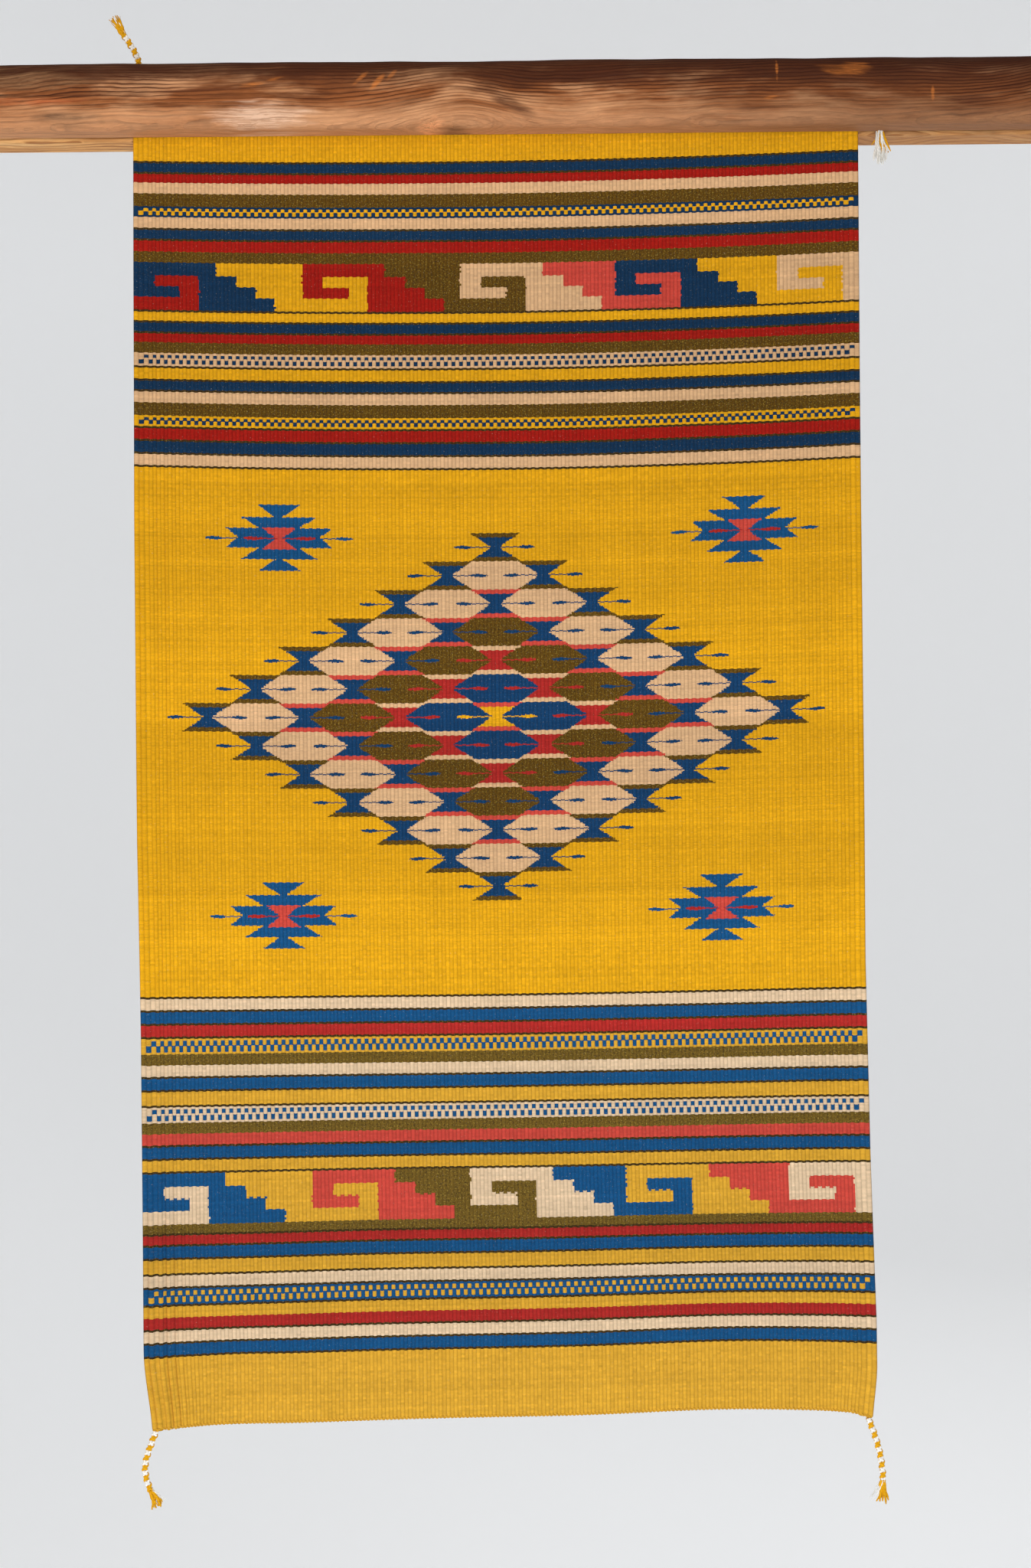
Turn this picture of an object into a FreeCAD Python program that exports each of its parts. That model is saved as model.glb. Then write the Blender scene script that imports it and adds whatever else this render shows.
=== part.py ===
import FreeCAD, Part
import math
import os

# Wool tapestry clamped between the two halves of a timber beam on a wall. Millimetres.
# Origin: middle of the back rail's rear face, on the wall. +X right, -Y out from the wall, +Z up.

# Driving dimensions: timber beam, split lengthwise into two rails
RAIL_LENGTH = 1320.0
RAIL_HEIGHT = 74.0
RAIL_DEPTH = 40.0
FRONT_RAIL_RAISE = 3.0
FRONT_TOP_ROUND = 20.0
FRONT_BOTTOM_ROUND = 15.0
BACK_BOTTOM_ROUND = 4.0
LIP_ROUND = 8.0
FACE_BULGE = 2.0
SEAT_DEPTH = 1.0
END_ROUND = 3.0

# Driving dimensions: cloth
CLOTH_WIDTH = 800.0
CLOTH_LENGTH = 1500.0
CLAMPED_LENGTH = 71.0
HEADING_THICKNESS = 3.6
PANEL_THICKNESS = 3.0
RUNNING_GAP = 0.3
SELVEDGE_WIDTH = 12.0
HEADER_CORD = 3.4
HEADER_CORD_ROUND = 1.2

# Driving dimensions: corner braids and tassels
BRAID_DIAMETER = 6.4
FLAT_BRAID_WIDTH = 9.0
FLAT_BRAID_THICKNESS = 3.2
ARC_SHARE = 0.45

# Driving dimensions: clamp hardware, M8
BOLT_X = 622.0
BOLT_RADIUS = 3.9
BOLT_HEAD_RADIUS = 9.5
BOLT_HEAD_HEIGHT = 4.5
BOLT_HEAD_ROUND = 3.0
BOLT_END_CHAMFER = 1.0
COUNTERBORE_RADIUS = 11.0
COUNTERBORE_DEPTH = 8.0
BACK_HOLE_RADIUS = 4.2
FRONT_HOLE_RADIUS = 4.5
WASHER_RADIUS = 12.0
WASHER_THICKNESS = 1.6
NUT_HOLE_RADIUS = 3.95
NUT_BASE_RADIUS = 8.0
NUT_TOP_RADIUS = 6.5
NUT_HEIGHT = 9.0
WING_THICKNESS = 3.2
WING_REACH = 18.0
WING_RISE = 19.0
CLAMP_TRAVEL = 8.0
BOLT_SPARE = 1.5

# Driving dimensions: wall screw holes in the back rail
SCREW_X = 500.0
SCREW_HOLE_RADIUS = 2.75
COUNTERSINK_RADIUS = 5.5
COUNTERSINK_DEPTH = 3.0

# Derived levels
CLOTH_BACK_Y = -RAIL_DEPTH
CLOTH_MID_Y = CLOTH_BACK_Y - HEADING_THICKNESS / 2
FRONT_RAIL_BACK_Y = CLOTH_BACK_Y - HEADING_THICKNESS
FRONT_FACE_Y = FRONT_RAIL_BACK_Y - RAIL_DEPTH
BACK_RAIL_LOW_Z = -RAIL_HEIGHT / 2
FRONT_RAIL_LOW_Z = BACK_RAIL_LOW_Z + FRONT_RAIL_RAISE
FRONT_RAIL_TOP_Z = FRONT_RAIL_LOW_Z + RAIL_HEIGHT
CLOTH_TOP_Z = FRONT_RAIL_LOW_Z + CLAMPED_LENGTH
CLOTH_LOW_Z = CLOTH_TOP_Z - CLOTH_LENGTH
HINGE_Z = FRONT_RAIL_LOW_Z - RUNNING_GAP - PANEL_THICKNESS / 2
PANEL_LOW_Z = CLOTH_LOW_Z + HEADER_CORD
BOLT_Z = FRONT_RAIL_RAISE / 2
WASHER_SEAT_Y = FRONT_FACE_Y + SEAT_DEPTH
WASHER_FRONT_Y = WASHER_SEAT_Y - WASHER_THICKNESS
BOLT_END_Y = WASHER_FRONT_Y - NUT_HEIGHT - CLAMP_TRAVEL - BOLT_SPARE

OUTWARD = FreeCAD.Vector(0, -1, 0)


def vec(x, y, z):
    return FreeCAD.Vector(x, y, z)


def save(shape, node):
    """Write one node, after checking that every solid in it is sound."""
    if not shape.isValid():
        raise ValueError(node + " is not valid")
    shape.exportStep("parts/" + node + ".step")


def corner_arc(corner, towards_a, towards_b, radius):
    """Quarter arc that rounds a square corner, with its two tangent points."""
    start = corner + towards_a * radius
    end = corner + towards_b * radius
    centre = start + towards_b * radius
    middle = centre + (corner - centre).normalize() * radius
    return start, Part.Arc(start, middle, end).toShape(), end


def rounded_section(back_y, front_y, low_z, top_z, rounds, bulge):
    """Beam section in the YZ plane. rounds: back low, front low, front top, back top."""
    out = vec(0, -1, 0)
    inward = vec(0, 1, 0)
    up = vec(0, 0, 1)
    down = vec(0, 0, -1)
    corners = [
        (vec(0, back_y, low_z), up, out, rounds[0]),
        (vec(0, front_y, low_z), inward, up, rounds[1]),
        (vec(0, front_y, top_z), down, inward, rounds[2]),
        (vec(0, back_y, top_z), out, down, rounds[3]),
    ]
    arcs = [corner_arc(*corner) for corner in corners]
    edges = []
    for index, (start, arc, end) in enumerate(arcs):
        next_start = arcs[(index + 1) % len(arcs)][0]
        edges.append(arc)
        if index == 1 and bulge:
            crown = (end + next_start) * 0.5 + out * bulge
            edges.append(Part.Arc(end, crown, next_start).toShape())
        else:
            edges.append(Part.LineSegment(end, next_start).toShape())
    return Part.Wire(Part.__sortEdges__(edges))


def beam(section):
    face = Part.Face(section)
    face.translate(vec(-RAIL_LENGTH / 2, 0, 0))
    return face.extrude(vec(RAIL_LENGTH, 0, 0))


def cylinder_out(radius, x, z, start_y, end_y):
    """Round bar along Y from start_y out to end_y."""
    return Part.makeCylinder(radius, start_y - end_y, vec(x, start_y, z), OUTWARD)


def make_back_rail():
    rounds = (1.5, BACK_BOTTOM_ROUND, LIP_ROUND, 1.5)
    shape = beam(rounded_section(0, CLOTH_BACK_Y, BACK_RAIL_LOW_Z, -BACK_RAIL_LOW_Z, rounds, 0))
    for side in (-1, 1):
        x = side * BOLT_X
        shape = shape.cut(cylinder_out(BACK_HOLE_RADIUS, x, BOLT_Z, 1, CLOTH_BACK_Y - 1))
        shape = shape.cut(cylinder_out(COUNTERBORE_RADIUS, x, BOLT_Z, 1, -COUNTERBORE_DEPTH))
        x = side * SCREW_X
        shape = shape.cut(cylinder_out(SCREW_HOLE_RADIUS, x, 0, 1, CLOTH_BACK_Y - 1))
        sink_start = vec(x, CLOTH_BACK_Y, 0)
        sink = Part.makeCone(COUNTERSINK_RADIUS, SCREW_HOLE_RADIUS, COUNTERSINK_DEPTH, sink_start, vec(0, 1, 0))
        shape = shape.cut(sink)
    return shape


def make_front_rail():
    rounds = (1.5, FRONT_BOTTOM_ROUND, FRONT_TOP_ROUND, LIP_ROUND)
    section = rounded_section(
        FRONT_RAIL_BACK_Y, FRONT_FACE_Y + FACE_BULGE, FRONT_RAIL_LOW_Z, FRONT_RAIL_TOP_Z, rounds, FACE_BULGE
    )
    shape = beam(section)
    for side in (-1, 1):
        x = side * BOLT_X
        shape = shape.cut(cylinder_out(FRONT_HOLE_RADIUS, x, BOLT_Z, 0, FRONT_FACE_Y - 1))
        seat = cylinder_out(WASHER_RADIUS + 1, x, BOLT_Z, WASHER_SEAT_Y, FRONT_FACE_Y - 1)
        shape = shape.cut(seat)
    return shape


def make_clamp_bolts():
    bolts = []
    for side in (-1, 1):
        x = side * BOLT_X
        shank = cylinder_out(BOLT_RADIUS, x, BOLT_Z, -COUNTERBORE_DEPTH, BOLT_END_Y)
        tip = [e for e in shank.Edges if abs(e.BoundBox.YMin - BOLT_END_Y) < 0.01 and e.BoundBox.YLength < 0.01]
        shank = shank.makeChamfer(BOLT_END_CHAMFER, tip)
        head_top = -COUNTERBORE_DEPTH + BOLT_HEAD_HEIGHT
        head = cylinder_out(BOLT_HEAD_RADIUS, x, BOLT_Z, head_top, -COUNTERBORE_DEPTH)
        rim = [e for e in head.Edges if abs(e.BoundBox.YMax - head_top) < 0.01 and e.BoundBox.YLength < 0.01]
        head = head.makeFillet(BOLT_HEAD_ROUND, rim)
        bolts.append(shank.fuse(head).removeSplitter())
    return Part.makeCompound(bolts)


def make_clamp_washers():
    washers = []
    for side in (-1, 1):
        x = side * BOLT_X
        disc = cylinder_out(WASHER_RADIUS, x, BOLT_Z, WASHER_SEAT_Y, WASHER_FRONT_Y)
        washers.append(disc.cut(cylinder_out(BACK_HOLE_RADIUS, x, BOLT_Z, 0, BOLT_END_Y)))
    return Part.makeCompound(washers)


def make_wing(side):
    """One wing as a leaning ear, drawn in the XZ plane and extruded through Y."""
    points = [
        (4.0, 0.8),
        (NUT_BASE_RADIUS + 1, 2.2),
        (WING_REACH - 1, 10.5),
        (WING_REACH, WING_RISE - 3),
        (WING_REACH - 3.5, WING_RISE),
        (WING_REACH - 8, WING_RISE - 3),
        (4.0, NUT_HEIGHT - 0.8),
    ]
    outline = [vec(side * x, -WING_THICKNESS / 2, z) for x, z in points]
    face = Part.Face(Part.makePolygon(outline + [outline[0]]))
    ear = face.extrude(vec(0, WING_THICKNESS, 0))
    return ear.makeFillet(1.2, ear.Edges)


def make_wing_nut(x):
    hub = Part.makeCone(NUT_BASE_RADIUS, NUT_TOP_RADIUS, NUT_HEIGHT)
    nut = hub.fuse(make_wing(-1)).fuse(make_wing(1)).removeSplitter()
    nut = nut.cut(Part.makeCylinder(NUT_HOLE_RADIUS, WING_RISE + 2, vec(0, 0, -1)))
    nut.rotate(vec(0, 0, 0), vec(1, 0, 0), 90)
    nut.translate(vec(x, WASHER_FRONT_Y, BOLT_Z))
    return nut


def make_heading():
    height = CLAMPED_LENGTH - HEADER_CORD
    corner = vec(-CLOTH_WIDTH / 2, FRONT_RAIL_BACK_Y, FRONT_RAIL_LOW_Z)
    return Part.makeBox(CLOTH_WIDTH, HEADING_THICKNESS, height, corner)


def make_header_cord(low_z, round_low):
    """Cord twined along a woven edge: square where it meets the cloth, rounded outside."""
    corner = vec(-CLOTH_WIDTH / 2, CLOTH_MID_Y - HEADER_CORD / 2, low_z)
    bar = Part.makeBox(CLOTH_WIDTH, HEADER_CORD, HEADER_CORD, corner)
    edge_z = low_z if round_low else low_z + HEADER_CORD
    rim = [e for e in bar.Edges if e.BoundBox.XLength > 1 and abs(e.BoundBox.ZMin - edge_z) < 0.01]
    return bar.makeFillet(HEADER_CORD_ROUND, rim)


def make_hanging_strip(low_x, width):
    """Flat cloth whose top edge is rounded about the line where it bends at the clamp."""
    radius = PANEL_THICKNESS / 2
    front = CLOTH_MID_Y - radius
    strip = Part.makeBox(width, PANEL_THICKNESS, HINGE_Z - PANEL_LOW_Z, vec(low_x, front, PANEL_LOW_Z))
    roll = Part.makeCylinder(radius, width, vec(low_x, CLOTH_MID_Y, HINGE_Z), vec(1, 0, 0))
    return strip.fuse(roll).removeSplitter()


def braid_path(points):
    """Straight runs joined by tangent arcs, each as large as its two runs allow."""
    edges = []
    radii = []
    last = points[0]
    for before, point, after in zip(points, points[1:], points[2:]):
        run_in = point - before
        run_out = after - point
        turn = run_in.getAngle(run_out)
        radius = ARC_SHARE * min(run_in.Length, run_out.Length) / math.tan(turn / 2)
        reach = radius * math.tan(turn / 2)
        direction_in = vec(*run_in).normalize()
        direction_out = vec(*run_out).normalize()
        start = point - direction_in * reach
        end = point + direction_out * reach
        bisector = (direction_out - direction_in).normalize()
        centre = point + bisector * (radius / math.cos(turn / 2))
        middle = centre - bisector * radius
        edges.append(Part.LineSegment(last, start).toShape())
        edges.append(Part.Arc(start, middle, end).toShape())
        radii.append(radius)
        last = end
    edges.append(Part.LineSegment(last, points[-1]).toShape())
    return Part.Wire(edges), radii


def make_braid(name, points):
    """Round braid along its route; prints its bend radii and checks its volume."""
    route = [vec(*p) for p in points]
    path, radii = braid_path(route)
    radius = BRAID_DIAMETER / 2
    circle = Part.makeCircle(radius, route[0], route[1] - route[0])
    tube = path.makePipeShell([Part.Wire(circle)], True, True)
    expected = math.pi * radius * radius * path.Length
    ratio = tube.Volume / expected
    print(name, "length", round(path.Length, 1), "radii", [round(r, 1) for r in radii], "volume ratio", round(ratio, 4))
    return tube


def ellipse_wire(centre, direction, half_width, half_depth):
    """Ellipse square to direction, its long axis across the view."""
    side = direction.cross(vec(0, 1, 0)).normalize()
    depth = side.cross(direction).normalize()
    ellipse = Part.Ellipse(centre + side * half_width, centre + depth * half_depth, centre)
    return Part.Wire(ellipse.toShape())


def make_tassel(start, end, sections):
    """Frayed end as one closed brush shape; sections are (share, half width, half depth)."""
    first = vec(*start)
    span = vec(*end) - first
    direction = vec(*span).normalize()
    wires = [ellipse_wire(first + span * share, direction, wide, deep) for share, wide, deep in sections]
    return Part.makeLoft(wires, True)


ROUND_TASSEL = [(0, 3.2, 3.1), (0.35, 5.0, 4.0), (0.75, 8.0, 5.0), (1, 9.0, 5.0)]
FLAT_TASSEL = [(0, 4.4, 1.5), (0.3, 6.0, 2.0), (0.75, 9.0, 2.8), (1, 10.0, 2.8)]


def make_flat_braid(points):
    """Braid squeezed flat between the rails, bent over from the cloth's corner."""
    front = CLOTH_MID_Y - FLAT_BRAID_THICKNESS / 2
    half = FLAT_BRAID_WIDTH / 2
    (x0, z0), (x1, z1), (x2, z2) = points
    outline = [
        vec(x0, front, z0 - half),
        vec(x1 - half, front, z1 - half),
        vec(x2 - half, front, z2),
        vec(x2 + half, front, z2),
        vec(x1 + half, front, z1),
        vec(x1, front, z1 + half),
        vec(x0, front, z0 + half),
    ]
    face = Part.Face(Part.makePolygon(outline + [outline[0]]))
    return face.extrude(vec(0, FLAT_BRAID_THICKNESS, 0))


# Routes of the braids, by hand, in millimetres
TOP_LEFT_BRAID = [
    (-392.0, CLOTH_MID_Y, CLOTH_TOP_Z),
    (-392.5, CLOTH_MID_Y, 47.0),
    (-397.0, CLOTH_MID_Y, 60.0),
    (-404.5, CLOTH_MID_Y, 72.0),
    (-410.0, CLOTH_MID_Y - 1.0, 80.0),
]
TOP_LEFT_TASSEL_END = (-421.0, CLOTH_MID_Y - 3.0, 100.0)
TOP_RIGHT_BRAID = [(400.0, 29.0), (423.0, 26.0), (424.0, FRONT_RAIL_LOW_Z)]
TOP_RIGHT_TASSEL_END = (425.0, CLOTH_MID_Y - 4.0, -70.0)
BOTTOM_LEFT_BRAID = [
    (-395.0, CLOTH_MID_Y, CLOTH_LOW_Z),
    (-402.5, CLOTH_MID_Y, CLOTH_LOW_Z - 17.0),
    (-408.5, CLOTH_MID_Y, CLOTH_LOW_Z - 36.0),
    (-407.0, CLOTH_MID_Y, CLOTH_LOW_Z - 54.0),
    (-400.5, CLOTH_MID_Y - 1.0, CLOTH_LOW_Z - 66.0),
]
BOTTOM_LEFT_TASSEL_END = (-393.0, CLOTH_MID_Y - 2.0, CLOTH_LOW_Z - 86.0)
BOTTOM_RIGHT_BRAID = [
    (392.0, CLOTH_MID_Y, CLOTH_LOW_Z),
    (399.5, CLOTH_MID_Y, CLOTH_LOW_Z - 16.0),
    (405.0, CLOTH_MID_Y, CLOTH_LOW_Z - 33.0),
    (407.5, CLOTH_MID_Y, CLOTH_LOW_Z - 51.0),
    (408.0, CLOTH_MID_Y, CLOTH_LOW_Z - 67.0),
]
BOTTOM_RIGHT_TASSEL_END = (404.0, CLOTH_MID_Y - 2.0, CLOTH_LOW_Z - 92.0)


def main():
    os.makedirs("parts", exist_ok=True)
    save(make_back_rail(), "back_rail")
    save(make_front_rail(), "front_rail")
    save(make_clamp_bolts(), "clamp_bolts")
    save(make_clamp_washers(), "clamp_washers")
    save(make_wing_nut(-BOLT_X), "wing_nut_left")
    save(make_wing_nut(BOLT_X), "wing_nut_right")

    save(make_heading(), "clamped_heading")
    save(make_header_cord(CLOTH_TOP_Z - HEADER_CORD, False), "top_header_cord")
    panel_width = CLOTH_WIDTH - 2 * SELVEDGE_WIDTH
    save(make_hanging_strip(-panel_width / 2, panel_width), "tapestry_panel")
    save(make_hanging_strip(-CLOTH_WIDTH / 2, SELVEDGE_WIDTH), "selvedge_left")
    save(make_hanging_strip(panel_width / 2, SELVEDGE_WIDTH), "selvedge_right")
    save(make_header_cord(CLOTH_LOW_Z, True), "bottom_header_cord")

    round_braids = {
        "top_left": (TOP_LEFT_BRAID, TOP_LEFT_TASSEL_END),
        "bottom_left": (BOTTOM_LEFT_BRAID, BOTTOM_LEFT_TASSEL_END),
        "bottom_right": (BOTTOM_RIGHT_BRAID, BOTTOM_RIGHT_TASSEL_END),
    }
    for corner, (route, tassel_end) in round_braids.items():
        save(make_braid(corner, route), "braid_" + corner)
        save(make_tassel(route[-1], tassel_end, ROUND_TASSEL), "tassel_" + corner)

    save(make_flat_braid(TOP_RIGHT_BRAID), "braid_top_right")
    tassel_start = (TOP_RIGHT_BRAID[-1][0], CLOTH_MID_Y, FRONT_RAIL_LOW_Z)
    save(make_tassel(tassel_start, TOP_RIGHT_TASSEL_END, FLAT_TASSEL), "tassel_top_right")


main()
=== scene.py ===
import math

import bpy
import numpy as np
from mathutils import Matrix, Vector


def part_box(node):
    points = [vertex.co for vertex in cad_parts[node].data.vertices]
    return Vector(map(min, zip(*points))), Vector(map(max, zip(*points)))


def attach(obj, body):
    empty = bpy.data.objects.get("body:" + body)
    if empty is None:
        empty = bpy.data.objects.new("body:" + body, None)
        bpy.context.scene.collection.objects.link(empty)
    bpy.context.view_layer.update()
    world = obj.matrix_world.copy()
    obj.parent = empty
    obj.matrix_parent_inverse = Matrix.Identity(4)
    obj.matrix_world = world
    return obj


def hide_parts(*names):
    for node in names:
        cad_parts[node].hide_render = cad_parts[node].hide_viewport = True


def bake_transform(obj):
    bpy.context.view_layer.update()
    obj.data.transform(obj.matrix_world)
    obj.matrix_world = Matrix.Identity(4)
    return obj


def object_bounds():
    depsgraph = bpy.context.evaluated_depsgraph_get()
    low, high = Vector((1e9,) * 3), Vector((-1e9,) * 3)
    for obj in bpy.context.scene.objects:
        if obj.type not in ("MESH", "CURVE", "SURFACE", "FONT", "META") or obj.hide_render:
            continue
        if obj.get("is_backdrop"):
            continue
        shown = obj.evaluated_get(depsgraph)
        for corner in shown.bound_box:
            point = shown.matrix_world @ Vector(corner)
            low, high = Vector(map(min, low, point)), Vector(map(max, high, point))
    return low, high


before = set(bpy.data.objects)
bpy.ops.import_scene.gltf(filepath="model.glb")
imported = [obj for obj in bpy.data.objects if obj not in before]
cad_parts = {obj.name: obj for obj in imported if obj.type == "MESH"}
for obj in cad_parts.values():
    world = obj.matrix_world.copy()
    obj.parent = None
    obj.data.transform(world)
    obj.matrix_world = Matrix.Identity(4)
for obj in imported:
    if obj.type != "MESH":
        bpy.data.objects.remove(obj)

# Wool tapestry clamped between the two halves of a timber beam. Metres, +Z up, cloth facing -Y.

CAD_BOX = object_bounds()

# Places read from the frame
HEADING_LOW, HEADING_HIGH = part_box("clamped_heading")
CLOTH_MID_Y = (HEADING_LOW.y + HEADING_HIGH.y) / 2
CLAMP_Z = HEADING_LOW.z
CLOTH_HALF_WIDTH = HEADING_HIGH.x

# Weave. A pick is one weft row, a rib the weft over one warp.
PICK = 0.0024
HEADING_PICKS = 30
VISIBLE_PICKS = 589
RIBS = 190
SELVEDGE_RIBS = 3
SELVEDGE_RIB = 0.0056
RIB = (2 * CLOTH_HALF_WIDTH - 2 * SELVEDGE_RIBS * SELVEDGE_RIB) / (RIBS - 2 * SELVEDGE_RIBS)
CLOTH_THICKNESS = 0.0032
VALLEY_DEPTH = 0.0007
ZIGZAG = 0.14
SCALLOP = 0.0018
# Mesh columns across one rib, and how high each stands: a valley, then the crest
COLUMN_SHARES = (0.0, 0.28, 0.72)
COLUMN_HEIGHTS = (0.0, 1.0, 1.0)
SHALLOW_VALLEY = 0.35

# Thickness left at the side edges, and at the first and second row from each end, as shares
SIDE_THIN = 0.2
END_TAPER = (0.45, 0.85)

MM = 0.001


# ---- colours

def linear(red, green, blue):
    """Scene-linear colour from 8-bit display values."""
    values = []
    for channel in (red, green, blue):
        c = channel / 255
        values.append(c / 12.92 if c <= 0.04045 else ((c + 0.055) / 1.055) ** 2.4)
    return tuple(values)


# Each yarn: display colour, and how heathered it is (0 plain, 1 mixed fibres)
YARNS = {
    "yellow": (linear(220, 157, 18), 0.08),
    # The yarn below is the same yellow wool, made paler and greyer for the lower cloth: a painted haze of
    # light.
    "straw": (linear(212, 156, 46), 0.08),
    "navy": (linear(13, 47, 77), 0.10),
    "denim": (linear(15, 57, 95), 0.10),
    "blue": (linear(17, 75, 120), 0.10),
    "red": (linear(156, 22, 14), 0.10),
    "crimson": (linear(168, 38, 34), 0.10),
    "coral": (linear(198, 68, 56), 0.10),
    "sand": (linear(212, 168, 124), 0.04),
    "cream": (linear(218, 186, 150), 0.04),
    "moss": (linear(93, 64, 13), 1.00),
    "olive": (linear(108, 82, 28), 1.00),
    "line": (linear(60, 43, 18), 0.60),
    "white": (linear(238, 232, 222), 0.0),
}
YARN_INDEX = {name: index for index, name in enumerate(YARNS)}


# ---- camera, light and floor

LENS = 50.0
CAMERA_X = 0.0156
CAMERA_Z = -0.7507
CAMERA_DISTANCE = 2.405
CAMERA_ROLL = math.radians(-0.5)

# Soft lights: name, place, target, disk size, watts, colour
MIDDLE = (0.0, -0.04, -0.75)
LIGHTS = (
    ("key", (-2.7, -2.5, -0.2), MIDDLE, 1.6, 40.0, (1.0, 0.93, 0.83)),
    ("front_fill", (1.4, -4.2, -0.7), MIDDLE, 3.0, 27.0, (1.0, 0.95, 0.88)),
    ("top_warm", (0.3, -1.6, 1.9), (0.0, -0.05, -0.2), 1.2, 5.0, (1.0, 0.74, 0.48)),
    ("low_cool", (0.1, -2.2, -1.75), (0.0, -0.05, -1.3), 1.4, 26.0, (0.64, 0.83, 1.0)),
    ("back_fill", (1.6, 4.0, 0.6), MIDDLE, 3.0, 45.0, (1.0, 1.0, 1.0)),
)
WORLD_COLOUR = (1.0, 0.97, 0.94, 1.0)
WORLD_STRENGTH = 0.28

# Floor: flat to its radius, then swept up into a round wall
FLOOR_Z = -2.9
FLOOR_RADIUS = 3.2
SWEEP_RADIUS = 4.6
SWEEP_STEPS = 24
WALL_HEIGHT = 8.0
FLOOR_SIDES = 96
FLOOR_GLOW = 0.225


def add_object(name, data):
    """New object in the scene for a mesh, a curve, a light or a camera."""
    item = bpy.data.objects.new(name, data)
    bpy.context.scene.collection.objects.link(item)
    return item


def make_camera():
    data = bpy.data.cameras.new("camera")
    data.lens = LENS
    data.sensor_width = 36.0
    camera = add_object("camera", data)
    place = Matrix.Translation((CAMERA_X, CLOTH_MID_Y - CAMERA_DISTANCE, CAMERA_Z))
    camera.matrix_world = place @ Matrix.Rotation(math.pi / 2, 4, "X") @ Matrix.Rotation(CAMERA_ROLL, 4, "Z")
    bpy.context.scene.camera = camera


def make_area_light(name, place, target, size, power, colour):
    data = bpy.data.lights.new(name, "AREA")
    data.shape = "DISK"
    data.size = size
    data.energy = power
    data.color = colour
    light = add_object(name, data)
    light.location = place
    light.rotation_euler = (Vector(target) - Vector(place)).to_track_quat("-Z", "Y").to_euler()
    light.visible_camera = False


def make_lights():
    for light in LIGHTS:
        make_area_light(*light)
    world = bpy.data.worlds.new("studio")
    world.use_nodes = True
    background = world.node_tree.nodes["Background"]
    background.inputs["Color"].default_value = WORLD_COLOUR
    background.inputs["Strength"].default_value = WORLD_STRENGTH
    bpy.context.scene.world = world
    bpy.context.scene.view_settings.view_transform = "Standard"


def make_floor():
    """Pale floor that sweeps up into a round wall, so every side has a plain ground."""
    rings = [(FLOOR_RADIUS * share, 0.0) for share in (0.25, 0.5, 0.75, 1.0)]
    for step in range(1, SWEEP_STEPS + 1):
        angle = math.pi / 2 * step / SWEEP_STEPS
        rings.append((FLOOR_RADIUS + SWEEP_RADIUS * math.sin(angle), SWEEP_RADIUS * (1 - math.cos(angle))))
    rings.append((FLOOR_RADIUS + SWEEP_RADIUS, WALL_HEIGHT))
    verts = [(0.0, 0.0, FLOOR_Z)]
    for radius, height in rings:
        for side in range(FLOOR_SIDES):
            angle = math.tau * side / FLOOR_SIDES
            verts.append((radius * math.cos(angle), radius * math.sin(angle), FLOOR_Z + height))
    faces = [(0, 1 + side, 1 + (side + 1) % FLOOR_SIDES) for side in range(FLOOR_SIDES)]
    for ring in range(len(rings) - 1):
        low = 1 + ring * FLOOR_SIDES
        high = low + FLOOR_SIDES
        for side in range(FLOOR_SIDES):
            after = (side + 1) % FLOOR_SIDES
            faces.append((low + side, high + side, high + after, low + after))
    mesh = bpy.data.meshes.new("studio_floor")
    mesh.from_pydata(verts, [], faces)
    mesh.polygons.foreach_set("use_smooth", np.ones(len(faces), bool))
    floor = add_object("studio_floor", mesh)
    floor.data.materials.append(floor_material())
    floor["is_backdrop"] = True


# ---- node helpers

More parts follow.
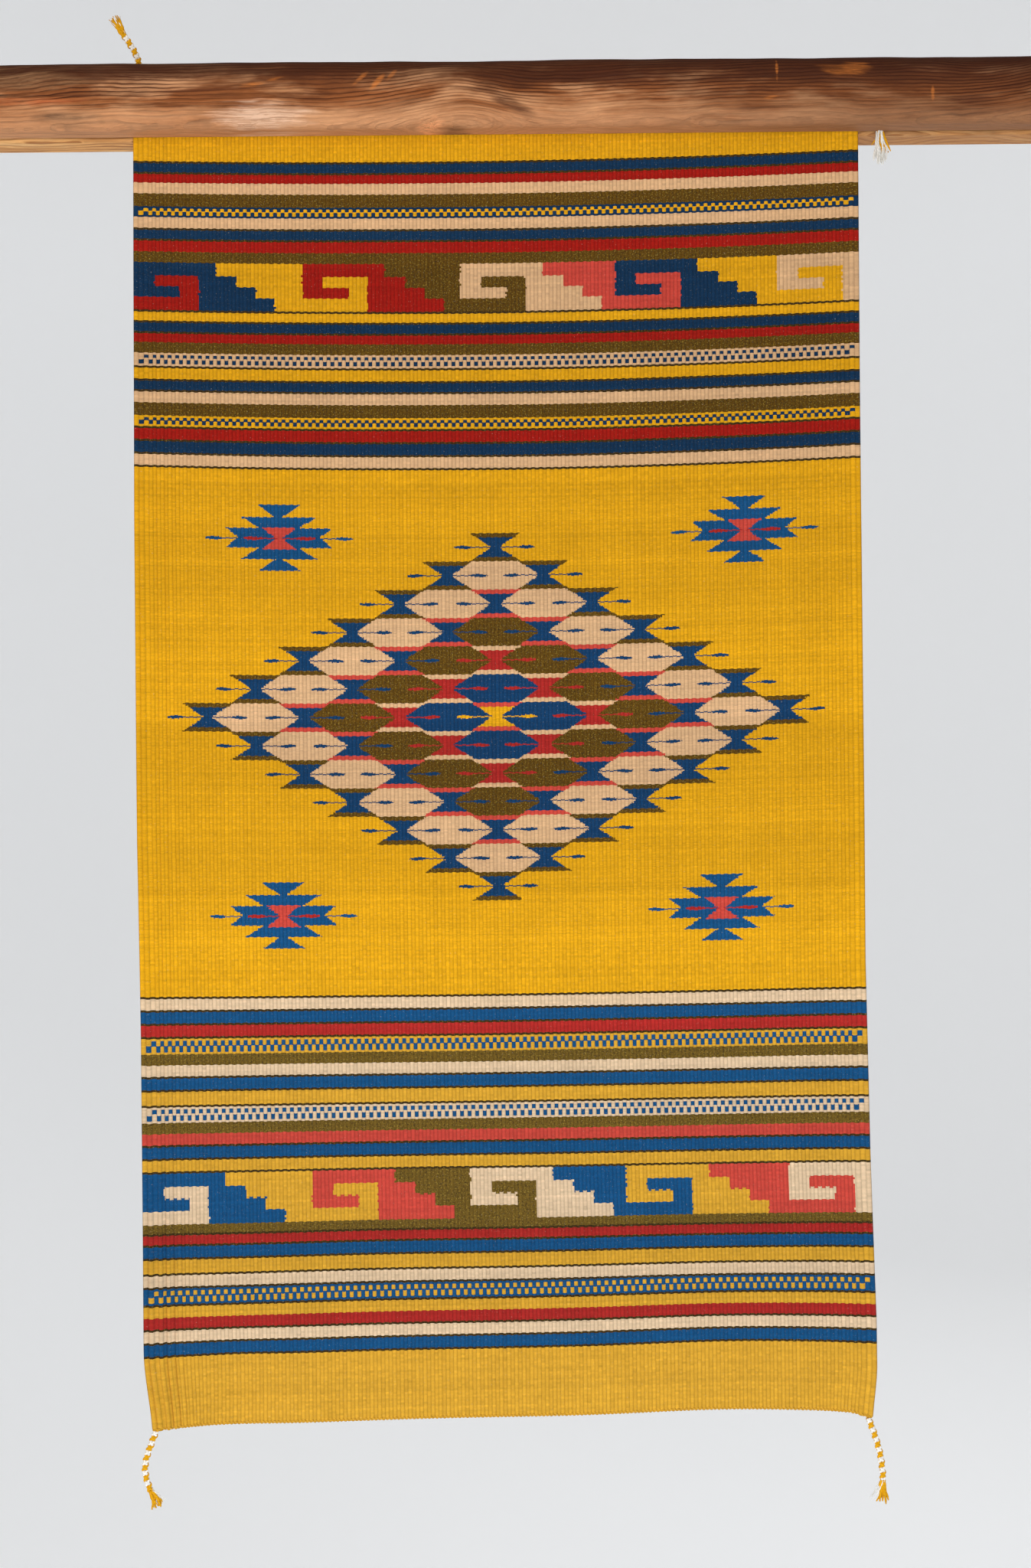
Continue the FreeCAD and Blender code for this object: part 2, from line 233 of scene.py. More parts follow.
class Shading:
    """A material with a Principled shader, and short names for adding nodes to it."""

    def __init__(self, name):
        self.material = bpy.data.materials.new(name)
        self.material.use_nodes = True
        self.tree = self.material.node_tree
        self.tree.nodes.clear()
        self.shader = self.node("ShaderNodeBsdfPrincipled")
        output = self.node("ShaderNodeOutputMaterial")
        self.tree.links.new(self.shader.outputs[0], output.inputs["Surface"])

    def node(self, kind, **settings):
        node = self.tree.nodes.new(kind)
        for key, value in settings.items():
            setattr(node, key, value)
        return node

    def put(self, socket, value):
        if isinstance(value, bpy.types.NodeSocket):
            self.tree.links.new(value, socket)
        else:
            socket.default_value = value

    def math(self, operation, *values):
        node = self.node("ShaderNodeMath", operation=operation)
        for socket, value in zip(node.inputs, values):
            self.put(socket, value)
        return node.outputs[0]

    def times(self, value, factor, plus=None):
        """value times factor, and then a third value added if there is one."""
        if plus is None:
            return self.math("MULTIPLY", value, factor)
        return self.math("MULTIPLY_ADD", value, factor, plus)

    def rounded(self, share, power, depth=1.0):
        """1 in the middle of a share from 0 to 1, lower by depth at both its ends."""
        from_middle = self.math("ABSOLUTE", self.times(share, 2.0, -1.0))
        return self.math("SUBTRACT", 1.0, self.times(self.math("POWER", from_middle, power), depth))

    def step_up(self, value, low, high):
        """Smooth 0 to 1 as value goes from low to high."""
        node = self.node("ShaderNodeMapRange", interpolation_type="SMOOTHSTEP")
        self.put(node.inputs["Value"], value)
        self.put(node.inputs["From Min"], low)
        self.put(node.inputs["From Max"], high)
        return node.outputs["Result"]

    def split(self, vector):
        node = self.node("ShaderNodeSeparateXYZ")
        self.put(node.inputs[0], vector)
        return node.outputs

    def join(self, x, y, z):
        node = self.node("ShaderNodeCombineXYZ")
        for socket, value in zip(node.inputs, (x, y, z)):
            self.put(socket, value)
        return node.outputs[0]

    def attribute(self, name):
        return self.node("ShaderNodeAttribute", attribute_name=name)

    def place(self):
        return self.node("ShaderNodeTexCoord").outputs["Object"]

    def noise(self, vector, scale, detail, roughness=0.5):
        node = self.node("ShaderNodeTexNoise")
        self.put(node.inputs["Vector"], vector)
        node.inputs["Scale"].default_value = scale
        node.inputs["Detail"].default_value = detail
        node.inputs["Roughness"].default_value = roughness
        return node.outputs[0]

    def mix(self, share, a, b):
        """Colour a, and colour b over it by a share; each a socket or three values."""
        node = self.node("ShaderNodeMix", data_type="RGBA")
        self.put(node.inputs[0], share)
        for socket, colour in zip(node.inputs[6:8], (a, b)):
            self.put(socket, colour if isinstance(colour, bpy.types.NodeSocket) else (*colour, 1.0))
        return node.outputs[2]

    def brighten(self, colour, factor):
        node = self.node("ShaderNodeVectorMath", operation="SCALE")
        self.put(node.inputs[0], colour)
        self.put(node.inputs["Scale"], factor)
        return node.outputs[0]

    def bump(self, height, distance, strength):
        node = self.node("ShaderNodeBump")
        node.inputs["Strength"].default_value = strength
        node.inputs["Distance"].default_value = distance
        self.put(node.inputs["Height"], height)
        self.put(self.shader.inputs["Normal"], node.outputs[0])

    def constant(self, **values):
        for name, value in values.items():
            self.shader.inputs[name.replace("_", " ")].default_value = value

    def colour(self, value):
        self.put(self.shader.inputs["Base Color"], value)

    def roughness(self, value):
        self.put(self.shader.inputs["Roughness"], value)


def floor_material():
    look = Shading("studio_floor")
    grain = look.noise(look.place(), 0.6, 3.0)
    look.colour(look.mix(grain, (0.80, 0.81, 0.82), (0.84, 0.845, 0.85)))
    look.roughness(0.95)
    look.constant(Specular_IOR_Level=0.1, Emission_Color=(0.95, 0.97, 1.0, 1.0), Emission_Strength=FLOOR_GLOW)
    return look.material


# ---- wool

# Odd fibres: noise scale, detail and roughness, where they start and are full, share, colour, and
# whether only heathered yarn has them
FLECKS = (
    (470.0, 2.0, 0.6, 0.50, 0.66, 0.75, (0.045, 0.026, 0.010), True),
    (620.0, 2.0, 0.6, 0.56, 0.70, 0.62, (0.42, 0.30, 0.05), True),
    (560.0, 1.0, 0.5, 0.68, 0.76, 0.22, (0.55, 0.47, 0.38), False),
)
# Heights of the fine relief
WOVEN_RELIEF = 0.0011
SPUN_RELIEF = 0.0004
TIMBER_RELIEF = 0.0009
STEEL_RELIEF = 0.0003


def wool_shading(name):
    """Shader settings shared by the woven and the spun wool."""
    look = Shading(name)
    look.constant(Sheen_Weight=0.03, Sheen_Roughness=0.5, Specular_IOR_Level=0.07)
    return look


def fibre_colour(look, yarn, place, along):
    """Yarn colour with loose fibres, heather flecks, stray pale hairs and uneven dye."""
    colour = yarn.outputs["Color"]
    heather = yarn.outputs["Alpha"]
    fine = look.noise(along, 1.0, 3.0, 0.7)
    dye = look.noise(place, 22.0, 2.0, 0.5)
    for scale, detail, rough, low, high, share, tint, heathered in FLECKS:
        flecks = look.step_up(look.noise(place, scale, detail, rough), low, high)
        if heathered:
            flecks = look.times(heather, flecks)
        colour = look.mix(look.times(flecks, share), colour, tint)
    level = look.times(fine, 0.50, 0.75)
    level = look.times(level, look.times(dye, 0.22, 0.89))
    return look.brighten(colour, level), fine


def woven_material():
    """Weft-faced wool: ribs over the warps, each rib a column of staggered weft beads, with painted shade in
    the valleys between them.
    """
    look = wool_shading("woven_wool")
    weave = look.attribute("weave").outputs["Vector"]
    ribs, picks, face = look.split(weave)
    across = look.math("FRACT", ribs)
    odd = look.math("PINGPONG", look.math("FLOOR", ribs), 1.0)
    beads = look.math("FRACT", look.times(odd, 0.5, look.times(picks, 1.5)))
    rib_round = look.math("SQRT", look.rounded(across, 2.4, 0.97))
    bead_round = look.rounded(beads, 3.0)
    place = look.join(look.times(ribs, RIB), look.times(picks, PICK), look.times(face, 0.37))
    along = look.join(look.times(ribs, 3.2), look.times(picks, 6.5), face)
    colour, fine = fibre_colour(look, look.attribute("yarn"), place, along)
    # Painted shade: the colour is darkened in the valleys between ribs and between the weft beads.
    painted_valley_shade = look.times(rib_round, 0.30, 0.70)
    painted_valley_shade = look.times(painted_valley_shade, look.times(bead_round, 0.12, 0.90))
    look.colour(look.brighten(colour, painted_valley_shade))
    look.roughness(look.times(fine, 0.14, 0.80))
    relief = look.times(bead_round, 0.22, look.times(fine, 0.30))
    look.bump(look.times(rib_round, 0.55, relief), WOVEN_RELIEF, 0.9)
    return look.material


def spun_material():
    """Plied yarn of the braids, tassels and edge cords; the ply attribute runs around and along."""
    look = wool_shading("spun_wool")
    around, along, strand = look.split(look.attribute("ply").outputs["Vector"])
    turn = look.math("FRACT", look.math("ADD", look.times(around, 2.0), along))
    ply_round = look.math("SQRT", look.rounded(turn, 2.2))
    place = look.join(look.times(around, 0.004), look.times(along, 0.003), strand)
    hair = look.join(look.times(turn, 4.0), look.times(along, 1.3), strand)
    colour, fine = fibre_colour(look, look.attribute("yarn"), place, hair)
    # Painted shade: the colour is darkened in the grooves between the ply turns.
    look.colour(look.brighten(colour, look.times(ply_round, 0.22, 0.80)))
    look.roughness(look.times(fine, 0.12, 0.82))
    look.bump(look.times(fine, 0.35, ply_round), SPUN_RELIEF, 0.8)
    return look.material


# ---- pattern of the cloth
# Counted down the cloth in picks from the clamp, and across it in millimetres from the middle.
# A stripe is a yarn and its picks; a check is its ground, its squares and the line between its rows.

def read_stripes(words):
    """Stripes from words such as "navy 4" or "sand/navy/sand 6"; a dash is a line one pick thick."""
    stripes = []
    for word in words.replace("-", "line 1").split(", "):
        yarns, picks = word.split()
        stripes.append((*yarns.split("/"), int(picks)))
    return stripes


LINE_FROM = 0.40
LINE_TO = 0.50
UPPER_STRIPES = read_stripes(
    "yellow 12, -, navy 4, -, red 4, sand 5, moss 6, navy/yellow/yellow 5, sand 5, -, navy 4, -, red 5, "
    "moss 5, fret 22, -, yellow 4, -, navy 4, -, red 4, moss 5, sand/navy/sand 6, -, yellow 5, -, navy 4, "
    "-, sand 5, moss 6, yellow/navy/navy 5, -, red 5, -, navy 5, -, sand 5, -"
)
LOWER_STRIPES = read_stripes(
    "-, cream 5, -, blue 5, -, crimson 5, -, straw/blue/blue 7, olive 5, cream 5, -, blue 5, -, straw 6, "
    "-, cream/blue/cream 7, olive 5, coral 5, -, blue 5, -, straw 5, -, fret 23, olive 4, -, crimson 4, -, "
    "blue 5, -, straw 6, -, cream 5, -, blue/straw/blue 7, -, straw 5, crimson 5, -, cream 5, -, blue 5, "
    "-"
)
FIELD_PICKS = 241

# Stepped fret: one unit is a hook, then a stair; widths in millimetres from the unit's start
FRET_STARTS = (-400.0, -214.0, -40.0, 131.0, 309.5)
HOOK_COLUMN = 23.0
HOOK_BAR = 51.0
HOOK_INNER = 72.0
STAIR_ENDS = (91.0, 113.5, 135.0, 156.0)
FRET_LEVELS = (0.27, 0.5, 0.73)
UPPER_FRET = [("navy", "red"), ("red", "yellow"), ("sand", "moss"), ("navy", "coral"), ("sand", "yellow")]
LOWER_FRET = [
    ("blue", "cream"), ("coral", "straw"), ("cream", "olive"), ("straw", "blue"), ("cream", "coral"),
]

# Medallion: six by six lozenges with waisted joints between them
LOZENGES = 6
MEDALLION_X = -3.4
MEDALLION_PICK = 267.5
LATTICE_X = 53.0
LATTICE_PICKS = 13
JOINT_HALF = 28.5
WAIST_HALF = 5.0
BAND_PICKS = 2.0
NEEDLE_LINE_END = 27.0
NEEDLE_END = 44.0
RING_LOZENGES = ("sand", "moss", "denim")
RING_JOINTS = (("denim", "moss"), ("denim", "coral"), ("crimson", "sand"), ("yellow", "coral"))

# Small motifs: middle across in millimetres, middle down in picks
MOTIFS = ((-241.0, 185.5), (271.6, 184.5), (-241.0, 358.5), (242.4, 357.5))
# Tiers of a small motif: top, bottom, half width at the top and at the bottom
MOTIF_TIERS = (
    (-37.0, -23.4, 23.6, 3.6),
    (-23.4, -11.5, 41.5, 21.8),
    (-11.5, -1.2, 58.7, 45.0),
    (-1.2, 10.2, 45.0, 58.7),
    (10.2, 22.6, 21.8, 41.8),
    (22.6, 35.5, 3.6, 23.4),
)
# The motif's core: half height, half width at its waist and how much that grows to its ends
MOTIF_CORE_HALF = 12
MOTIF_CORE_WAIST = 3.5
MOTIF_CORE_GROWTH = 15.5
MOTIF_HALF_PICKS = 18
# Needles each side of a small motif: where the line starts, swells and ends, and its yarn
MOTIF_NEEDLES = ((3.0, 19.0, 40.0, "crimson"), (45.0, 63.0, 81.0, "blue"))


def stripes_from(first_pick, stripes):
    """Each stripe as its yarns, its first pick and its count of picks."""
    start = first_pick
    for *yarns, picks in stripes:
        yield yarns, start, picks
        start += picks


UPPER_PICKS = sum(stripe[-1] for stripe in UPPER_STRIPES)
LOWER_START = UPPER_PICKS + FIELD_PICKS
# Both ends of the pattern: first pick, stripes, and the fret's hooks and grounds
PATTERN_ENDS = ((0, UPPER_STRIPES, UPPER_FRET), (LOWER_START, LOWER_STRIPES, LOWER_FRET))


# Half thickness of a needle's line and of its dash, and their overlap, in millimetres
NEEDLE_LINE_HALF = 0.6
NEEDLE_DASH_HALF = 1.7
NEEDLE_OVERLAP = 2


def needle(across, down, start, line_end, end):
    """Thin weft line from start, swelling into a pointed dash; distances in millimetres."""
    line = (across > start) & (across < line_end + NEEDLE_OVERLAP) & (np.abs(down) < NEEDLE_LINE_HALF)
    share = np.clip((across - line_end) / (end - line_end), 0, 1)
    thick = NEEDLE_DASH_HALF * np.sin(np.pi * np.clip(share * 0.8 + 0.12, 0, 1)) ** 0.6
    dash = (across >= line_end) & (across < end) & (np.abs(down) < thick)
    return line | dash


def paint_stripes(cells, rib, middle, first_pick, stripes):
    """Plain stripes, and checks: two rows of squares one rib wide, staggered by a rib."""
    inside = (rib >= 1) & (rib < RIBS - 1)
    for yarns, start, picks in stripes_from(first_pick, stripes):
        rows = (middle > start) & (middle < start + picks)
        if yarns[0] != "fret":
            cells[rows] = YARN_INDEX[yarns[0]]
        if len(yarns) < 3:
            continue
        share = (middle - start - 1) / (picks - 2)
        upper = (share > 0) & (share < LINE_FROM)
        between = (share > LINE_FROM) & (share < LINE_TO)
        lower = (share > LINE_TO) & (share < 1)
        cells[between[:, None] & inside[None, :]] = YARN_INDEX[yarns[2]]
        for row, parity in ((upper, 0), (lower, 1)):
            marked = inside & (rib % 2 == parity)
            cells[row[:, None] & marked[None, :]] = YARN_INDEX[yarns[1]]


def fret_rows(first_pick, stripes):
    """First pick of the fret and its count of picks."""
    return next(rows for yarns, *rows in stripes_from(first_pick, stripes) if yarns[0] == "fret")


def paint_fret(cells, across, pick, first_pick, picks, colours):
    """Hooks and stairs; each stair steps down into the next unit's ground."""
    share = (pick - first_pick) / picks
    level = np.searchsorted(FRET_LEVELS, share.ravel()).reshape(share.shape)
    inside = (share >= 0) & (share < 1)
    unit = np.clip(np.searchsorted(FRET_STARTS, across.ravel(), "right").reshape(across.shape) - 1, 0, 4)
    local = across - np.take(FRET_STARTS, unit)
    stair = np.take(STAIR_ENDS, level)
    hook = np.take([YARN_INDEX[c[0]] for c in colours], unit)
    ground = np.take([YARN_INDEX[c[1]] for c in colours], unit)
    next_ground = np.take([YARN_INDEX[c[1]] for c in colours[1:]] + [YARN_INDEX[colours[-1][0]]], unit)
    gap = (level == 1) & (local > HOOK_COLUMN) & (local < HOOK_INNER)
    gap |= (level == 2) & (local > HOOK_BAR) & (local < HOOK_INNER)
    gap |= (level == 3) & (local < HOOK_INNER)
    result = np.where(gap, ground, hook)
    result = np.where(local > stair, next_ground, result)
    cells[inside] = result[inside]


def lattice_ring(column, row, count):
    """Ring of a place in the medallion, counted inwards from its edge; below 0 is outside."""
    falling = (column + row + count) / 2
    rising = (row - column + count) / 2
    return np.minimum(np.minimum(falling, rising), count - np.maximum(falling, rising))


def paint_medallion(cells, across, pick):
    x = across - MEDALLION_X
    y = (pick - MEDALLION_PICK) * PICK / MM
    row_height = LATTICE_PICKS * PICK / MM
    row = np.rint(y / row_height)
    down = y - row * row_height
    rise = np.abs(down) / (row_height / 2)
    edge = WAIST_HALF + (JOINT_HALF - WAIST_HALF) * rise ** 1.1
    # In row r the joints stand where (column + r) is even, the lozenges between them
    parity = np.mod(row, 2)
    column = np.rint((x / LATTICE_X - parity) / 2) * 2 + parity
    from_joint = x - column * LATTICE_X
    joint_ring = lattice_ring(column, row, LOZENGES)
    in_joint = (np.abs(from_joint) < edge) & (joint_ring >= 0)
    side = np.where(from_joint >= 0, 1, -1)
    ring = lattice_ring(column + side, row, LOZENGES - 1)
    in_lozenge = (np.abs(from_joint) >= edge) & (ring >= 0)
    for index, yarn in enumerate(RING_LOZENGES):
        cells[in_lozenge & (ring == index)] = YARN_INDEX[yarn]
    in_band = np.abs(down) > row_height / 2 - BAND_PICKS * PICK / MM
    needles = needle(np.abs(from_joint), down, WAIST_HALF, NEEDLE_LINE_END, NEEDLE_END)
    for index, (body, band) in enumerate(RING_JOINTS):
        here = in_joint & (joint_ring == index)
        cells[here & ~in_band] = YARN_INDEX[body]
        cells[here & in_band] = YARN_INDEX[band]
        cells[(joint_ring == index) & needles] = YARN_INDEX[body]


def paint_motif(cells, across, pick, middle_x, middle_pick):
    x = across - middle_x
    y = (pick - middle_pick) * PICK / MM
    for top, low, half_top, half_low in MOTIF_TIERS:
        share = (y - top) / (low - top)
        half = half_top + (half_low - half_top) * share
        cells[(share >= 0) & (share < 1) & (np.abs(x) < half)] = YARN_INDEX["blue"]
    inner = MOTIF_CORE_WAIST + MOTIF_CORE_GROWTH * np.abs(y) / MOTIF_CORE_HALF
    cells[(np.abs(y) < MOTIF_CORE_HALF) & (np.abs(x) < inner)] = YARN_INDEX["coral"]
    for start, line_end, end, yarn in MOTIF_NEEDLES:
        cells[needle(np.abs(x), y, start, line_end, end)] = YARN_INDEX[yarn]


def row_edges():
    """Pick positions of the row lines, at every half pick in the figured region and the checks."""
    figured_from = min(pick for _, pick in MOTIFS) - MOTIF_HALF_PICKS
    figured_to = max(pick for _, pick in MOTIFS) + MOTIF_HALF_PICKS
    halves = list(np.arange(math.floor(figured_from) + 0.5, figured_to, 1.0))
    for first_pick, stripes, _ in PATTERN_ENDS:
        for yarns, start, picks in stripes_from(first_pick, stripes):
            if len(yarns) == 3:
                halves += [start + row + 0.5 for row in range(picks)]
    whole = np.arange(-HEADING_PICKS, VISIBLE_PICKS + 1, 1.0)
    return np.sort(np.concatenate([whole, halves]))


def rib_edges():
    """Places of the valleys between ribs across the flat cloth, in metres from its middle."""
    widths = [RIB] * RIBS
    widths[:SELVEDGE_RIBS] = [SELVEDGE_RIB] * SELVEDGE_RIBS
    widths[-SELVEDGE_RIBS:] = [SELVEDGE_RIB] * SELVEDGE_RIBS
    return np.concatenate([[0.0], np.cumsum(widths)]) - CLOTH_HALF_WIDTH


def woven_pattern(edges, flat_x):
    """Yarn index of each cell, one cell for each row between edges and each column between flat_x."""
    rib = np.arange(len(flat_x) - 1) // len(COLUMN_SHARES)
    stagger = np.where(rib % 2 == 0, -ZIGZAG, ZIGZAG)
    middle = (edges[:-1] + edges[1:]) / 2
    pick = middle[:, None] + stagger[None, :]
    loose = np.random.default_rng(19).normal(0, 0.5, (len(edges) - 1, RIBS))
    across = (flat_x[:-1] + flat_x[1:])[None, :] / 2 / MM + np.repeat(loose, len(COLUMN_SHARES), axis=1)
    cells = np.full(pick.shape, YARN_INDEX["yellow"])
    # The lower ground takes the yellow wool with its painted haze of light.
    cells[middle > LOWER_START] = YARN_INDEX["straw"]
    for first_pick, stripes, fret in PATTERN_ENDS:
        paint_stripes(cells, rib, middle, first_pick, stripes)
        paint_fret(cells, across, pick, *fret_rows(first_pick, stripes), fret)
    for middle_x, middle_pick in MOTIFS:
        paint_motif(cells, across, pick, middle_x, middle_pick)
    paint_medallion(cells, across, pick)
    return cells


def cell_colours(cells):
    """Linear colour and heather share of each cell, with the dye's unevenness from pick to pick, and a
    painted highlight on every second rib.
    """
    rng = np.random.default_rng(7)
    table = np.array([(*colour, heather) for colour, heather in YARNS.values()])
    colours = table[cells]
    rows = len(cells)
    by_pick = rng.normal(1.0, 0.035, (rows, 1))
    slow = np.convolve(rng.normal(0, 1, rows + 60), np.ones(61) / 61, "valid")[:rows, None]
    # Painted highlight: every second rib is a little lighter, and the ribs between are a little darker.
    paired_rib_highlight = np.where(np.arange(RIBS) % 2 == 0, 1.03, 0.97)[None, :]
    by_rib = paired_rib_highlight * rng.normal(1.0, 0.015, (1, RIBS)) * rng.normal(1.0, 0.045, (rows, RIBS))
    by_cell = np.repeat(by_rib, len(COLUMN_SHARES), axis=1)
    colours[..., :3] *= (by_pick * by_cell * (1 + 0.35 * slow))[..., None]
    return np.clip(colours, 0, 1)


# ---- shape of the cloth

def smooth(value, low, high):
    share = np.clip((value - low) / (high - low), 0, 1)
    return share * share * (3 - 2 * share)


# Outline in millimetres at shares of the way down: bow and tilt of the weft, and the side edges
WEFT_BOW = ((0, -6.3), (0.26, -8.0), (0.67, -2.5), (1, 4.0))
WEFT_TILT = ((0, -3.0), (0.26, -1.5), (0.67, -2.5), (1, -5.0))
LEFT_SIDE = ((0, -400.5), (0.3, -402.5), (0.55, -402.0), (0.7, -399.8), (1, -399.3))
RIGHT_SIDE = ((0, 400.2), (0.3, 399.6), (0.65, 399.8), (0.8, 403.5), (0.93, 409), (1, 409.5))
PLEAT_PITCH = 0.0097


def outline_at(share, table):
    """Value of an outline table at each share of the way down, in metres."""
    return np.interp(share, *zip(*table)) * MM


def cloth_surface(flat_x, down):
    """Middle of the hanging cloth. flat_x across from its middle, down from the clamp line, metres."""
    side = flat_x / CLOTH_HALF_WIDTH
    share = np.clip(down / (VISIBLE_PICKS * PICK), 0, 1)
    sag = outline_at(share, WEFT_BOW) * side ** 2 + outline_at(share, WEFT_TILT) * side
    sag = sag - 4.5 * MM * smooth(share, 0.8, 1.0) * np.exp(-((side - 0.6) / 0.3) ** 2)
    sag = sag + 4.5 * MM * smooth(side, 0.93, 1.0) * smooth(share, 0.94, 1.0)
    above = np.clip(-down / (HEADING_PICKS * PICK), 0, 1)
    sag = sag * (1 - above)
    left_corner = smooth(-side, 0.80, 1.0) * smooth(down, 1.33, 1.425)
    right_corner = smooth(side, 0.82, 1.0) * smooth(down, 1.36, 1.425)
    left_side = outline_at(share, LEFT_SIDE)
    right_side = outline_at(share, RIGHT_SIDE)
    x = left_side + (right_side - left_side) * (side + 1) / 2
    x = x + 0.010 * left_corner - 0.0065 * right_corner
    # Shallow waves, in millimetres, that grow with the distance from the clamp
    free = smooth(down, 0.012, 0.20)
    wave = 2.6 * np.sin(6.1 * flat_x + 1.9 * down + 0.4) * np.sin(2.2 * down + 0.3)
    wave = wave + 1.2 * np.sin(14.0 * flat_x - 3.1 * down + 1.0) * smooth(down, 0.1, 0.9)
    wave = wave + 0.7 * np.sin(23.0 * flat_x + 9.0 * down) * np.sin(11.0 * down + 0.7)
    # Curled side edges, pleats beside them, and a hollow near the lower left corner
    left_curl = smooth(-side, 0.90, 1.0) * (3.5 * smooth(down, 0.35, 0.7) + 1.0 * smooth(down, 1.1, 1.4))
    pleat_depth = smooth(-side, 0.86, 0.95) * (0.45 + 0.95 * smooth(down, 1.0, 1.35))
    pleat_depth = pleat_depth + smooth(side, 0.90, 0.97) * 0.45 * smooth(down, 0.9, 1.35)
    pleats = pleat_depth * np.sin(math.tau * flat_x / PLEAT_PITCH)
    low_hollow = 8.0 * np.exp(-((flat_x + 0.30) / 0.05) ** 2) * np.exp(-((down - 1.37) / 0.06) ** 2)
    right_curl = -3.0 * smooth(side, 0.86, 1.0) * smooth(down, 0.2, 0.8)
    y = CLOTH_MID_Y + (wave - left_curl + pleats + low_hollow + right_curl) * free * MM
    y = y - (0.006 * left_corner + 0.005 * right_corner)
    z = CLAMP_Z - down - sag
    return np.stack(np.broadcast_arrays(x, y, z), -1)


def new_object(name, verts, faces, material):
    """Mesh object from numpy arrays: verts (n, 3) and quads (m, 4)."""
    mesh = bpy.data.meshes.new(name)
    mesh.vertices.add(len(verts))
    mesh.vertices.foreach_set("co", np.asarray(verts, np.float32).ravel())
    mesh.loops.add(faces.size)
    mesh.loops.foreach_set("vertex_index", faces.astype(np.int32).ravel())
    mesh.polygons.add(len(faces))
    mesh.polygons.foreach_set("loop_start", np.arange(0, faces.size, faces.shape[1], dtype=np.int32))
    mesh.update(calc_edges=True)
    mesh.polygons.foreach_set("use_smooth", np.ones(len(faces), bool))
    mesh.materials.append(material)
    return add_object(name, mesh)


def add_attribute(mesh, name, kind, domain, values):
    layer = mesh.attributes.new(name, kind, domain)
    key = "color" if kind == "FLOAT_COLOR" else "vector"
    layer.data.foreach_set(key, np.asarray(values, np.float32).ravel())


def grid_faces(rows, columns, first=0, flip=False):
    """Quads of a grid of (rows + 1) by (columns + 1) points numbered row by row."""
    corner = first + np.arange(rows)[:, None] * (columns + 1) + np.arange(columns)[None, :]
    order = (0, columns + 1, columns + 2, 1)
    quads = np.stack([corner + step for step in order], -1).reshape(-1, 4)
    return quads[:, ::-1] if flip else quads


def ring_faces(rows, sides, first=0):
    """Quads between (rows + 1) closed rings of points numbered ring by ring."""
    corner = first + np.arange(rows)[:, None] * sides + np.arange(sides)[None, :]
    after = first + np.arange(rows)[:, None] * sides + (np.arange(sides)[None, :] + 1) % sides
    return np.stack([corner, after, after + sides, corner + sides], -1).reshape(-1, 4)


def make_tapestry(material):
    edges = row_edges()
    ribs_at = rib_edges()
    shares = np.array(COLUMN_SHARES)
    columns = len(shares) * RIBS
    flat_x = np.append((ribs_at[:-1, None] + np.diff(ribs_at)[:, None] * shares).ravel(), ribs_at[-1])
    relief = np.append(np.tile(COLUMN_HEIGHTS, RIBS), 0.0)
    crests = relief.copy()
    relief[::2 * len(shares)] = SHALLOW_VALLEY
    rib_number = np.append((np.arange(RIBS)[:, None] + shares).ravel(), RIBS)
    zigzag = np.append(np.where(np.arange(columns) // len(shares) % 2 == 0, -1.0, 1.0) * relief[:-1], 0.0)
    down = edges * PICK
    middle = cloth_surface(flat_x[None, :], down[:, None])
    run_across = np.gradient(middle, flat_x, axis=1)
    run_down = np.gradient(middle, down, axis=0)
    normal = np.cross(run_down, run_across)
    normal /= np.linalg.norm(normal, axis=-1, keepdims=True)
    middle = middle + run_down * (zigzag[None, :, None] * PICK * ZIGZAG)
    middle[-1] += run_down[-1] * (crests * SCALLOP)[:, None]
    half = CLOTH_THICKNESS / 2 - VALLEY_DEPTH * (1 - relief)
    half[0] = half[-1] = CLOTH_THICKNESS * SIDE_THIN
    end_taper = np.ones(len(edges))
    end_taper[[0, -1]] = END_TAPER[0]
    end_taper[[1, -2]] = END_TAPER[1]
    thick = (half[None, :] * end_taper[:, None])[..., None]
    front = (middle + normal * thick).reshape(-1, 3)
    back = (middle - normal * thick).reshape(-1, 3)
    rows = len(edges) - 1
    count = len(front)
    faces = [grid_faces(rows, columns), grid_faces(rows, columns, count, flip=True)]
    grid = np.arange(count).reshape(rows + 1, columns + 1)
    border = np.concatenate([grid[0, :-1], grid[:-1, -1], grid[-1, :0:-1], grid[:0:-1, 0]])
    after = np.roll(border, -1)
    faces.append(np.stack([border, after, after + count, border + count], -1))
    piece = new_object("tapestry_cloth", np.concatenate([front, back]), np.concatenate(faces), material)
    cells = cell_colours(woven_pattern(edges, flat_x))
    by_face = cells.reshape(-1, 4)
    rim = np.concatenate([cells[0], cells[:, -1], cells[-1, ::-1], cells[::-1, 0]])
    add_attribute(piece.data, "yarn", "FLOAT_COLOR", "FACE", np.concatenate([by_face, by_face, rim]))
    ribs_flat = np.broadcast_to(rib_number[None, :], (rows + 1, columns + 1)).ravel()
    picks_flat = np.broadcast_to(edges[:, None], (rows + 1, columns + 1)).ravel()
    weave = [np.stack([ribs_flat, picks_flat, np.full(count, float(side))], -1) for side in (0, 1)]
    add_attribute(piece.data, "weave", "FLOAT_VECTOR", "POINT", np.concatenate(weave))
    return piece


# ---- cords, braids and tassels

def frames_along(points):
    """Unit tangent and two square directions at each point, carried along without twist."""
    tangents = np.gradient(points, axis=0)
    tangents /= np.linalg.norm(tangents, axis=1, keepdims=True)
    side = np.cross(tangents[0], (0.0, 1.0, 0.0))
    sides = []
    for tangent in tangents:
        side = side - tangent * np.dot(side, tangent)
        side = side / np.linalg.norm(side)
        sides.append(side)
    sides = np.array(sides)
    return tangents, sides, np.cross(tangents, sides)


